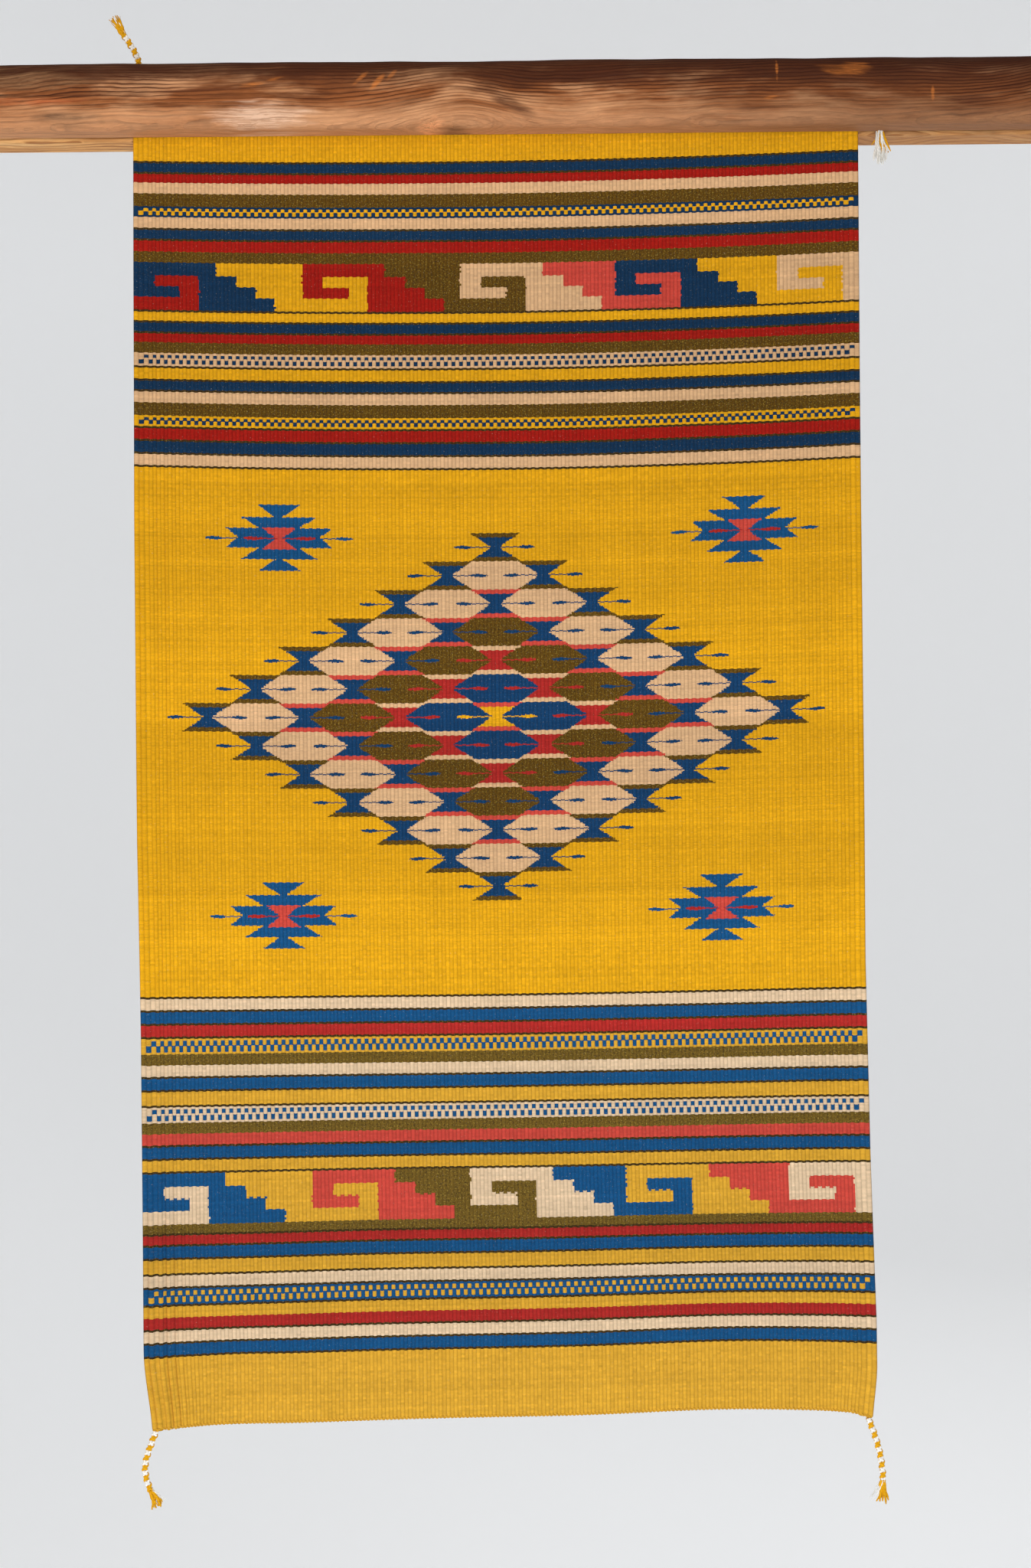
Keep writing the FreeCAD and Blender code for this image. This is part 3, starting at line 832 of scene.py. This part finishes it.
def distances(points):
    """Distance of each point of a polyline from its start, along it."""
    return np.concatenate([[0], np.cumsum(np.linalg.norm(np.diff(points, axis=0), axis=1))])


def resampled(points, spacing):
    """Evenly spaced points along a polyline."""
    points = np.asarray(points, float)
    lengths = distances(points)
    stops = np.linspace(0, lengths[-1], max(4, int(round(lengths[-1] / spacing)) + 1))
    return np.stack([np.interp(stops, lengths, points[:, axis]) for axis in range(3)], -1), stops


# How far a strand's tip stands past its last ring, as a share of the last step
TIP_STEP = 0.15
# Length of yarn in one turn of its plies
BRAID_PLY = 0.0045
TASSEL_PLY = 0.004
CORD_PLY = 0.006


class YarnMesh:
    """Collects round strands into one mesh, each with its yarn and ply coordinates."""

    def __init__(self, ply_length):
        self.verts = []
        self.faces = []
        self.colours = []
        self.plies = []
        self.count = 0
        self.strands = 0
        self.ply_length = ply_length

    def strand(self, points, radii, yarn, sides=8, level=1.0):
        points = np.asarray(points, float)
        radii = np.broadcast_to(radii, len(points))
        _, side, other = frames_along(points)
        angles = np.arange(sides) * math.tau / sides
        ring = np.cos(angles)[None, :, None] * side[:, None, :]
        ring = ring + np.sin(angles)[None, :, None] * other[:, None, :]
        verts = (points[:, None, :] + ring * radii[:, None, None]).reshape(-1, 3)
        rows = len(points) - 1
        quads = ring_faces(rows, sides, self.count)
        steps = np.array([points[0] - points[1], points[-1] - points[-2]])
        tips = points[[0, -1]] + steps * TIP_STEP
        tip_ids = self.count + len(verts) + np.arange(2)
        first = self.count + np.arange(0, sides, 2)
        caps = [np.stack([np.full(sides // 2, tip_ids[0]), np.roll(first, -1), first + 1, first], -1)]
        last = first + rows * sides
        caps.append(np.stack([np.full(sides // 2, tip_ids[1]), last, last + 1, np.roll(last, -1)], -1))
        self.verts += [verts, tips]
        self.faces += [quads, *caps]
        colour, heather = YARNS[yarn]
        face_count = len(quads) + sides
        self.colours.append(np.tile((*(c * level for c in colour), heather), (face_count, 1)))
        length = distances(points)
        around = np.broadcast_to(np.arange(sides) / sides, (len(points), sides))
        along = np.broadcast_to((length / self.ply_length)[:, None], (len(points), sides))
        ply = np.stack([around, along, np.full(around.shape, self.strands * 1.7)], -1).reshape(-1, 3)
        self.plies += [ply, np.zeros((2, 3))]
        self.count += len(verts) + 2
        self.strands += 1

    def finish(self, name, material):
        piece = new_object(name, np.concatenate(self.verts), np.concatenate(self.faces), material)
        add_attribute(piece.data, "yarn", "FLOAT_COLOR", "FACE", np.concatenate(self.colours))
        add_attribute(piece.data, "ply", "FLOAT_VECTOR", "POINT", np.concatenate(self.plies))
        return piece


def spline_points(name, controls):
    """Points along the smooth NURBS line that has the route's points as its control points."""
    data = bpy.data.curves.new(name + "_route", "CURVE")
    data.dimensions = "3D"
    data.resolution_u = 24
    spline = data.splines.new("NURBS")
    spline.points.add(len(controls) - 1)
    for point, place in zip(spline.points, controls):
        point.co = (*place, 1.0)
    spline.order_u = 3
    spline.use_endpoint_u = True
    route = add_object(name + "_route", data)
    bpy.context.view_layer.update()
    mesh = bpy.data.meshes.new_from_object(route)
    points = np.array([vertex.co for vertex in mesh.vertices])
    bpy.data.meshes.remove(mesh)
    bpy.data.objects.remove(route)
    bpy.data.curves.remove(data)
    return points


BRAID_DIAMETER = 0.0064
BRAID_PITCH = 0.0115
BRAID_STEP = 0.0007
# A strand's distance from the braid's middle as a share of its diameter, and how far it weaves
BRAID_REACH = 0.29
BRAID_WEAVE = 0.20
# Strands of a braid: hand, start of turn, yarn, radius as a share of the braid's diameter
BRAID_STRANDS = (
    (1, 0.0, "yellow", 0.28),
    (1, 0.5, "white", 0.24),
    (-1, 0.0, "white", 0.24),
    (-1, 0.5, "yellow", 0.25),
)


def add_braid(yarn_mesh, points, spread=1.0, flatness=1.0, phase=0.0):
    """Four strands plaited round: two turn each way, passing over and under each other."""
    points, stops = resampled(points, BRAID_STEP)
    _, side, other = frames_along(points)
    for hand, start, yarn, size in BRAID_STRANDS:
        turn = math.tau * (stops / BRAID_PITCH + start + phase) * hand
        over = 1 + BRAID_WEAVE * hand * np.cos(2 * math.tau * stops / BRAID_PITCH + math.tau * phase * 2)
        offset = BRAID_DIAMETER * BRAID_REACH * spread * over
        line = points + side * (np.cos(turn) * offset)[:, None]
        line = line + other * (np.sin(turn) * offset * flatness)[:, None]
        yarn_mesh.strand(line, BRAID_DIAMETER * size, yarn)


def add_tassel(yarn_mesh, start, end, strands, seed, spread, root=0.0018):
    """Frayed yarn ends from start towards end. strands: (yarn, radius, count, lean, reach)."""
    rng = np.random.default_rng(seed)
    start = np.array(start)
    run = np.array(end) - start
    length = np.linalg.norm(run)
    direction = run / length
    side = np.cross(direction, (0.0, 1.0, 0.0))
    depth = np.cross(side, direction)
    for yarn, radius, count, lean, reach in strands:
        for index in range(count):
            fan = (index + 0.5) / count * 2 - 1 + rng.normal(0, 0.12)
            out = fan * spread + lean * spread
            deep = rng.normal(0, 0.35) * spread * 0.6
            share = np.linspace(0, 1, 14)
            curl = rng.normal(0, 0.0012) * np.sin(share * math.pi * rng.uniform(1.0, 2.2))
            long = length * reach * rng.uniform(0.86, 1.04)
            line = start + direction * (share * long)[:, None]
            line = line + side * (out * share ** 1.25 + fan * root * (1 - share) + curl)[:, None]
            line = line + depth * (deep * share ** 1.2 + rng.normal(0, 0.5) * root * (1 - share))[:, None]
            taper = radius * (1 - 0.55 * share ** 3) * (1 + 0.12 * np.sin(share * 19 + index))
            yarn_mesh.strand(line, taper, yarn, sides=6, level=rng.uniform(0.88, 1.08))


# Routes of the braids
TOP_LEFT_ROUTE = [
    (-0.392, -0.0418, 0.037),
    (-0.3925, -0.0418, 0.047),
    (-0.397, -0.0418, 0.06),
    (-0.4045, -0.0418, 0.072),
    (-0.41, -0.0428, 0.08),
]
BOTTOM_LEFT_ROUTE = [
    (-0.3865, -0.0445, -1.459),
    (-0.393, -0.0435, -1.476),
    (-0.4, -0.0425, -1.495),
    (-0.4, -0.042, -1.513),
    (-0.394, -0.0428, -1.527),
]
BOTTOM_RIGHT_ROUTE = [
    (0.399, -0.044, -1.454),
    (0.405, -0.043, -1.4695),
    (0.4105, -0.042, -1.487),
    (0.414, -0.0418, -1.505),
    (0.415, -0.0418, -1.522),
]
TOP_RIGHT_ROUTE = [
    (0.4, -0.0418, 0.029),
    (0.412, -0.0418, 0.028),
    (0.4225, -0.0418, 0.022),
    (0.424, -0.0418, 0.005),
    (0.424, -0.042, -0.034),
]
TOP_RIGHT_TASSEL_END = (0.4250, -0.0460, -0.0700)

# Radii of the tassels' strands
THICK = 0.0016
THIN = 0.0011
WISP = 0.0007
TASSEL_SPREAD = 0.0062

# Corner, route, tassel's end, tassel's strands (yarn, radius, count, lean, reach), seed, body, phase
ROUND_BRAIDS = (
    (
        "top_left", TOP_LEFT_ROUTE, (-0.421, -0.0448, 0.1),
        [("yellow", THICK, 5, 0.0, 0.85), ("yellow", THIN, 6, 0.1, 1.0), ("white", WISP, 10, -0.1, 0.95)],
        2, "wall_rail", 0.1,
    ),
    (
        "bottom_left", BOTTOM_LEFT_ROUTE, (-0.385, -0.0438, -1.545),
        [("yellow", THICK, 7, 0.0, 1.0), ("yellow", THIN, 6, 0.1, 0.9), ("white", WISP, 9, 0.7, 0.85)],
        3, "hanging_cloth", 0.35,
    ),
    (
        "bottom_right", BOTTOM_RIGHT_ROUTE, (0.4125, -0.0438, -1.548),
        [("yellow", 0.0017, 6, 0.1, 0.95), ("yellow", THIN, 4, 0.0, 0.8), ("white", WISP, 7, -1.3, 0.9)],
        4, "hanging_cloth", 0.6,
    ),
)


def make_round_braid(corner, controls, tassel_end, tassel, seed, body, phase, material):
    points = spline_points("braid_" + corner, controls)
    braid_mesh = YarnMesh(BRAID_PLY)
    add_braid(braid_mesh, points, phase=phase)
    braid = braid_mesh.finish("braid_" + corner + "_strands", material)
    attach(braid, body)
    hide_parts("braid_" + corner)

    tassel_mesh = YarnMesh(TASSEL_PLY)
    add_tassel(tassel_mesh, points[-1], tassel_end, tassel, seed, TASSEL_SPREAD)
    brush = tassel_mesh.finish("tassel_" + corner + "_ends", material)
    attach(brush, body)
    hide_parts("tassel_" + corner)

    length = float(distances(points)[-1])
    tuple(controls[0])


def make_flat_braid(material):
    """The fourth corner's braid, squeezed between the rails, with its ends hanging out below."""
    points = spline_points("braid_top_right", TOP_RIGHT_ROUTE)
    braid_mesh = YarnMesh(BRAID_PLY)
    add_braid(braid_mesh, points, spread=1.15, flatness=0.10)
    braid = braid_mesh.finish("braid_top_right_strands", material)
    braid.data.transform(Matrix.Translation((0, CLOTH_MID_Y, 0)) @ Matrix.Diagonal((1, 0.85, 1, 1))
                         @ Matrix.Translation((0, -CLOTH_MID_Y, 0)))
    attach(braid, "wall_rail")
    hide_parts("braid_top_right")
    tassel_mesh = YarnMesh(TASSEL_PLY)
    strands = [
        ("white", THIN, 14, -0.15, 1.0), ("white", WISP, 12, -0.1, 1.0),
        ("yellow", 0.0013, 6, 0.75, 0.75), ("yellow", 0.0010, 2, -0.95, 0.45),
    ]
    add_tassel(tassel_mesh, (0.4240, -0.0436, -0.0320), TOP_RIGHT_TASSEL_END, strands, 5, 0.0068, root=0.0032)
    brush = tassel_mesh.finish("tassel_top_right_ends", material)
    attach(brush, "wall_rail")
    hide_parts("tassel_top_right")


# Radius of the header cord's two plies, and how far each winds out and up
PLY_RADIUS = 0.0010
PLY_DEPTH = 0.0009
PLY_RISE = 0.0012


def make_header_cord(node, down, yarn, body, material):
    """Two-ply cord twined along one end of the cloth, one turn for every two warps."""
    ribs_at = rib_edges()
    flat_x = np.linspace(ribs_at[0] + 0.001, ribs_at[-1] - 0.001, RIBS * 6)
    middle = cloth_surface(flat_x, np.full(len(flat_x), down))
    turn = flat_x / (2 * RIB) * math.tau
    mesh = YarnMesh(CORD_PLY)
    for phase in (0.0, math.pi):
        line = middle.copy()
        line[:, 1] += PLY_DEPTH * np.cos(turn + phase)
        line[:, 2] += PLY_RISE * np.sin(turn + phase)
        mesh.strand(line, PLY_RADIUS, yarn, level=0.92)
    piece = mesh.finish(node + "_twined", material)
    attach(piece, body)
    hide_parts(node)
    return piece


# ---- timber

def soft_noise(values, seed, waves, longest):
    """Sum of sines with fixed phases: a smooth irregular line."""
    rng = np.random.default_rng(seed)
    total = np.zeros_like(values)
    for index in range(waves):
        length = longest / 1.7 ** index
        total = total + np.sin(math.tau * values / length + rng.uniform(0, math.tau)) / 1.35 ** index
    return total / 2


# Points on each rounded corner of the section, and steps along each straight side
CORNER_POINTS = 7
SIDE_STEPS = 9


def timber_section(low_y, high_y, low_z, high_z, rounds):
    """Outline in the YZ plane, front at low_y. rounds: back low, front low, front top, back top."""
    corners = [
        (high_y, low_z, 1, -1, rounds[0], 270),
        (low_y, low_z, -1, -1, rounds[1], 180),
        (low_y, high_z, -1, 1, rounds[2], 90),
        (high_y, high_z, 1, 1, rounds[3], 0),
    ]
    outline = []
    for y, z, side_y, side_z, radius, start in corners:
        centre = (y - side_y * radius, z - side_z * radius)
        for step in range(CORNER_POINTS):
            angle = math.radians(start + 90 - 90 * step / (CORNER_POINTS - 1))
            outline.append((centre[0] + radius * math.cos(angle), centre[1] + radius * math.sin(angle)))
    closed = []
    for index, point in enumerate(outline):
        run_y, run_z = (b - a for a, b in zip(point, outline[(index + 1) % len(outline)]))
        closed.append(point)
        if math.hypot(run_y, run_z) > 0.01:
            for step in range(1, SIDE_STEPS):
                share = step / SIDE_STEPS
                closed.append((point[0] + run_y * share, point[1] + run_z * share))
    return np.array(closed)


# Radii of the front rail's long edges: back low, front low, front top, back top
RAIL_ROUNDS = (0.0015, 0.016, 0.020, 0.008)
RAIL_RINGS = 441
# Chips out of the lower edge: x, half width, depth
CHIPS = ((-0.080, 0.014, 0.0035), (0.205, 0.010, 0.0020))
END_CROWN = 0.0005


def make_front_rail(material):
    """Half round-edged beam with hewn irregular edges, chips and a shallow split."""
    low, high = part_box("front_rail")
    outline = timber_section(low.y, high.y, low.z, high.z, RAIL_ROUNDS)
    x = np.linspace(low.x, high.x, RAIL_RINGS)
    xs, ys = np.broadcast_arrays(x[:, None], outline[None, :, 0])
    zs = np.broadcast_to(outline[None, :, 1], xs.shape).copy()
    ys = ys.copy()
    frontness = np.clip((high.y - ys) / (high.y - low.y), 0, 1)
    height = (zs - low.z) / (high.z - low.z)
    lower = (1 - smooth(height, 0.0, 0.35)) * smooth(frontness, 0.25, 0.8)
    upper = smooth(height, 0.65, 1.0)
    ragged = 0.0013 * soft_noise(xs, 11, 7, 0.42) + 0.0006 * soft_noise(xs, 12, 5, 0.05)
    chips = sum(depth * np.exp(-((xs - chip_x) / half) ** 2) for chip_x, half, depth in CHIPS)
    zs += lower * (ragged + chips) + upper * 0.0007 * soft_noise(xs, 13, 5, 0.5)
    hewn = 0.0007 * soft_noise(xs + 3 * zs, 14, 6, 0.30) + 0.0003 * soft_noise(xs * 1.3 - 5 * zs, 15, 5, 0.06)
    face = smooth(frontness, 0.8, 1.0)
    split_z = 0.01 * (xs + 0.58) + 0.0004 * soft_noise(xs, 16, 4, 0.12)
    split = np.exp(-((zs - split_z) / 0.0016) ** 2) * (1 - smooth(xs, -0.64, -0.42))
    ys += face * (0.0022 * (1 - (2 * height - 1) ** 2) * -0.4 + hewn + 0.0022 * split)
    ys = np.maximum(ys, low.y - 0.0012)
    count_x, count_ring = xs.shape
    verts = np.stack([xs, ys, zs], -1).reshape(-1, 3)
    ring = np.arange(count_ring)
    faces = [ring_faces(count_x - 1, count_ring)[:, [0, 3, 2, 1]]]
    verts = [verts]
    total = count_x * count_ring
    for end, outward in ((0, 1), (count_x - 1, -1)):
        rim = verts[0][end * count_ring:(end + 1) * count_ring]
        middle = rim.mean(0)
        previous = end * count_ring + ring
        for share in (0.97, 0.7, 0.35, 0.02):
            inner = middle + (rim - middle) * share
            inner[:, 0] -= outward * END_CROWN * (1 - share)
            verts.append(inner)
            current = total + ring
            quad = np.stack([previous, np.roll(previous, -1), np.roll(current, -1), current], -1)
            faces.append(quad if end == 0 else quad[:, ::-1])
            previous = current
            total += count_ring
    return new_object("front_rail_timber", np.concatenate(verts), np.concatenate(faces), material)


# Growth lines of the timber, counted per metre, and how far they climb along it
LINES_PER_METRE = 240.0
LINE_CLIMB = 0.028
LINE_LEAN = 0.35
# How far the lines drift over a long way and waver over a short one
LINE_DRIFT = 0.040
LINE_WAVER = 0.006
KNOT_REACH_UP = 0.045
# How strongly the grain tears the edge of a stain
TORN_EDGE = 7.0


def grain_noise(look, place, stretch, detail, roughness=0.5):
    """Noise of marks that run with the grain; place and its stretch go by X, Y and Z."""
    scaled = look.join(*(look.times(*pair) for pair in zip(place, stretch)))
    return look.noise(scaled, 1.0, detail, roughness)


def grain_level(look, place, knots):
    """Height of a point in the growth lines, which drift, climb and arch over the knots."""
    x, y, z = place
    drift = grain_noise(look, place, (3.0, 6.0, 6.0), 2.0)
    waver = grain_noise(look, place, (16.0, 25.0, 45.0), 2.0)
    level = look.times(y, LINE_LEAN, z)
    level = look.times(x, -LINE_CLIMB, level)
    level = look.times(drift, LINE_DRIFT, level)
    level = look.times(waver, LINE_WAVER, level)
    for knot_x, knot_z, reach, lift in knots:
        away_x = look.math("DIVIDE", look.math("SUBTRACT", x, knot_x), reach)
        away_z = look.math("DIVIDE", look.math("ABSOLUTE", look.math("SUBTRACT", z, knot_z)), KNOT_REACH_UP)
        away = look.math("ADD", look.times(away_x, away_x), away_z)
        arch = look.math("EXPONENT", look.times(away, -1.0))
        level = look.times(arch, -lift, level)
    return level


def stained(look, colour, place, ragged, grain, stains):
    """Slanted marks broken up by the grain: x, z, half length, half height, slope, share and colour."""
    x, _, z = place
    for mark_x, mark_z, half_long, half_tall, slope, share, tint in stains:
        from_x = look.math("SUBTRACT", x, mark_x)
        from_z = look.times(from_x, -slope, look.math("SUBTRACT", z, mark_z))
        from_x = look.math("DIVIDE", from_x, half_long)
        from_z = look.math("DIVIDE", from_z, half_tall)
        away = look.math("ADD", look.times(from_x, from_x), look.times(from_z, from_z))
        away = look.times(ragged, TORN_EDGE, look.math("SUBTRACT", away, TORN_EDGE / 2))
        here = look.times(look.step_up(away, 1.5, -0.4), look.times(grain, share))
        colour = look.mix(here, colour, tint)
    return colour


def timber_material(name, tones, shade_and_stain_top, painted_light_low_edge, shaded_end, knots, stains):
    """Old planed softwood: growth lines, streaks, knots and stains, a top darkened by painted shade and some
    staining, a low edge paled by painted light, and painted shade towards one end.

    The three tuples after the tones, for the darker top, the paler low edge and the darker end, are where
    each change starts and ends, and its strength.
    """
    look = Shading(name)
    place = look.split(look.place())
    x, y, z = place
    level = grain_level(look, place, knots)
    with_grain = (x, y, level)
    fibre = grain_noise(look, with_grain, (22.0, 700.0, 700.0), 4.0, 0.65)
    streak = grain_noise(look, with_grain, (7.0, 110.0, 170.0), 3.0, 0.6)
    patch = grain_noise(look, with_grain, (8.0, 22.0, 34.0), 4.0, 0.6)
    blotch = grain_noise(look, place, (13.0, 40.0, 60.0), 4.0, 0.65)
    turn = look.math("FRACT", look.times(level, LINES_PER_METRE))
    line = look.times(look.step_up(turn, 0.45, 0.90), look.step_up(turn, 1.0, 0.92))
    lined = look.step_up(grain_noise(look, place, (5.0, 9.0, 26.0), 2.0), 0.36, 0.62)
    pale, body, dark = tones
    deep = tuple(0.55 * channel for channel in dark)
    line_share = look.times(line, look.times(lined, 0.60, 0.38))
    colour = look.mix(look.step_up(patch, 0.30, 0.54), pale, body)
    colour = look.mix(line_share, colour, dark)
    ragged_z = look.times(patch, 0.050, look.times(streak, 0.030, z))
    # The last three marks: painted shade with some staining darkens the top, painted light pales the low
    # edge, and painted shade darkens the end towards +x.
    for mark, low, high, share, tint in (
        (streak, 0.50, 0.70, 0.50, dark),
        (blotch, 0.54, 0.70, 0.35, dark),
        (ragged_z, *painted_light_low_edge, pale),
        (ragged_z, *shade_and_stain_top, dark),
        (x, *shaded_end, dark),
    ):
        colour = look.mix(look.times(look.step_up(mark, low, high), share), colour, tint)
    torn = look.times(look.math("ADD", streak, blotch), 0.5)
    cores = [(x_at, z_at, reach * 0.33, reach * 0.13, 0.0, 0.8, deep) for x_at, z_at, reach, _ in knots]
    broken = look.times(look.step_up(fibre, 0.42, 0.58), 0.60, 0.55)
    colour = stained(look, colour, place, torn, broken, (*stains, *cores))
    colour = look.brighten(colour, look.times(fibre, 1.00, 0.51))
    look.colour(colour)
    look.roughness(look.times(fibre, 0.25, 0.55))
    look.constant(Specular_IOR_Level=0.12)
    height = look.times(line, -0.5, look.times(fibre, 0.9))
    look.bump(look.times(streak, 0.6, height), TIMBER_RELIEF, 0.8)
    return look.material


# ---- hardware

def steel_material():
    """Zinc-plated steel, dulled and lightly scratched."""
    look = Shading("zinc_steel")
    place = look.place()
    spangle = look.noise(place, 260.0, 3.0, 0.6)
    wear = look.noise(place, 60.0, 4.0, 0.65)
    look.colour(look.mix(look.step_up(wear, 0.40, 0.72), (0.56, 0.56, 0.55), (0.30, 0.28, 0.25)))
    look.roughness(look.times(spangle, 0.30, 0.25))
    look.constant(Metallic=1.0)
    look.bump(look.times(spangle, 0.5, wear), STEEL_RELIEF, 0.4)
    return look.material


def dress_node(node, material):
    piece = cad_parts[node]
    piece.data.materials.clear()
    piece.data.materials.append(material)


# ---- assembly

make_camera()
make_lights()
make_floor()

spun = spun_material()
woven = woven_material()
ORANGE = linear(206, 118, 50)
UMBER = linear(70, 32, 16)
SOOT = linear(58, 44, 34)
ASH = linear(150, 112, 78)
front_wood = timber_material(
    "weathered_timber",
    (linear(204, 146, 102), linear(150, 86, 44), linear(58, 25, 11)),
    # Darker top (painted shade with some staining), paler low edge (painted light), darker +x end (painted
    # shade)
    (0.03, 0.068, 0.86),
    (0.04, 0.01, 0.7),
    (0.05, 0.46, 0.48),
    ((-0.046, -0.04, 0.075, 0.034), (0.54, 0.046, 0.06, -0.022)),
    (
        (-0.58, 0.0, 0.085, 0.0022, 0.01, 0.95, (0.02, 0.012, 0.008)),
        (-0.44, 0.001, 0.11, 0.0011, 0.02, 0.7, UMBER),
        (-0.3, 0.006, 0.11, 0.0012, 0.04, 0.6, UMBER),
        (-0.52, -0.006, 0.06, 0.0045, 0.0, 0.65, linear(190, 96, 52)),
        (-0.466, -0.024, 0.034, 0.0085, 0.0, 0.7, SOOT),
        (-0.6, -0.026, 0.04, 0.008, 0.0, 0.5, SOOT),
        (-0.54, 0.02, 0.09, 0.014, 0.0, 0.6, ASH),
        (-0.385, 0.025, 0.095, 0.008, 0.0, 0.85, UMBER),
        (-0.255, -0.022, 0.055, 0.016, 0.0, 0.65, linear(222, 184, 156)),
        (-0.128, 0.012, 0.007, 0.004, 0.9, 0.6, ORANGE),
        (-0.146, 0.0165, 0.008, 0.003, 0.8, 0.45, ORANGE),
        (-0.112, 0.02, 0.005, 0.003, 0.9, 0.4, ORANGE),
        (-0.262, 0.011, 0.013, 0.0026, 0.1, 0.55, ORANGE),
        (-0.238, 0.017, 0.01, 0.0018, 0.2, 0.5, ORANGE),
        (-0.068, -0.031, 0.016, 0.006, 0.0, 0.85, linear(236, 160, 108)),
        (0.012, -0.009, 0.034, 0.0075, -0.55, 0.75, UMBER),
        (0.1, 0.017, 0.075, 0.011, -0.03, 0.55, UMBER),
        (0.235, -0.004, 0.06, 0.006, 0.0, 0.45, UMBER),
        (0.306, 0.021, 0.0016, 0.012, 0.0, 0.6, ORANGE),
        (0.372, 0.0215, 0.022, 0.005, -0.12, 0.4, ORANGE),
        (0.392, 0.024, 0.016, 0.006, 0.0, 0.42, ORANGE),
        (0.3, -0.008, 0.008, 0.0018, 0.1, 0.55, ORANGE),
        (0.475, -0.005, 0.002, 0.007, 0.0, 0.55, ORANGE),
        (0.515, -0.013, 0.024, 0.005, 0.0, 0.6, UMBER),
    ),
)
back_wood = timber_material(
    "sawn_timber",
    (linear(236, 186, 126), linear(218, 158, 96), linear(140, 84, 44)),
    # Darker top (painted shade with some staining), paler low edge (painted light, here at no strength),
    # darker +x end (painted shade)
    (0.07, 0.11, 0.45),
    (0.01, 0.0, 0.0),
    (-0.1, 0.42, 0.5),
    ((0.44, -0.01, 0.05, 0.02),),
    (
        (0.548, -0.035, 0.014, 0.0016, 0.0, 0.85, (0.05, 0.025, 0.012)),
        (0.585, -0.031, 0.02, 0.0012, 0.1, 0.75, (0.06, 0.03, 0.015)),
    ),
)
steel = steel_material()

for braid_parts in ROUND_BRAIDS:
    make_round_braid(*braid_parts, spun)
make_flat_braid(spun)
header_low = make_header_cord(
    "bottom_header_cord", VISIBLE_PICKS * PICK, "straw", "hanging_cloth", spun,
)
header_top = make_header_cord(
    "top_header_cord", -HEADING_PICKS * PICK, "yellow", "wall_rail", spun,
)

tapestry = make_tapestry(woven)
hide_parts("clamped_heading", "tapestry_panel", "selvedge_left", "selvedge_right")
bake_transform(tapestry)

front_rail = make_front_rail(front_wood)
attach(front_rail, "clamp_rail")
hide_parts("front_rail")
dress_node("back_rail", back_wood)
for node in ("clamp_bolts", "clamp_washers", "wing_nut_left", "wing_nut_right"):
    dress_node(node, steel)

boxes = {"cad": CAD_BOX, "visual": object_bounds()}
{name: [list(corner) for corner in box] for name, box in boxes.items()}
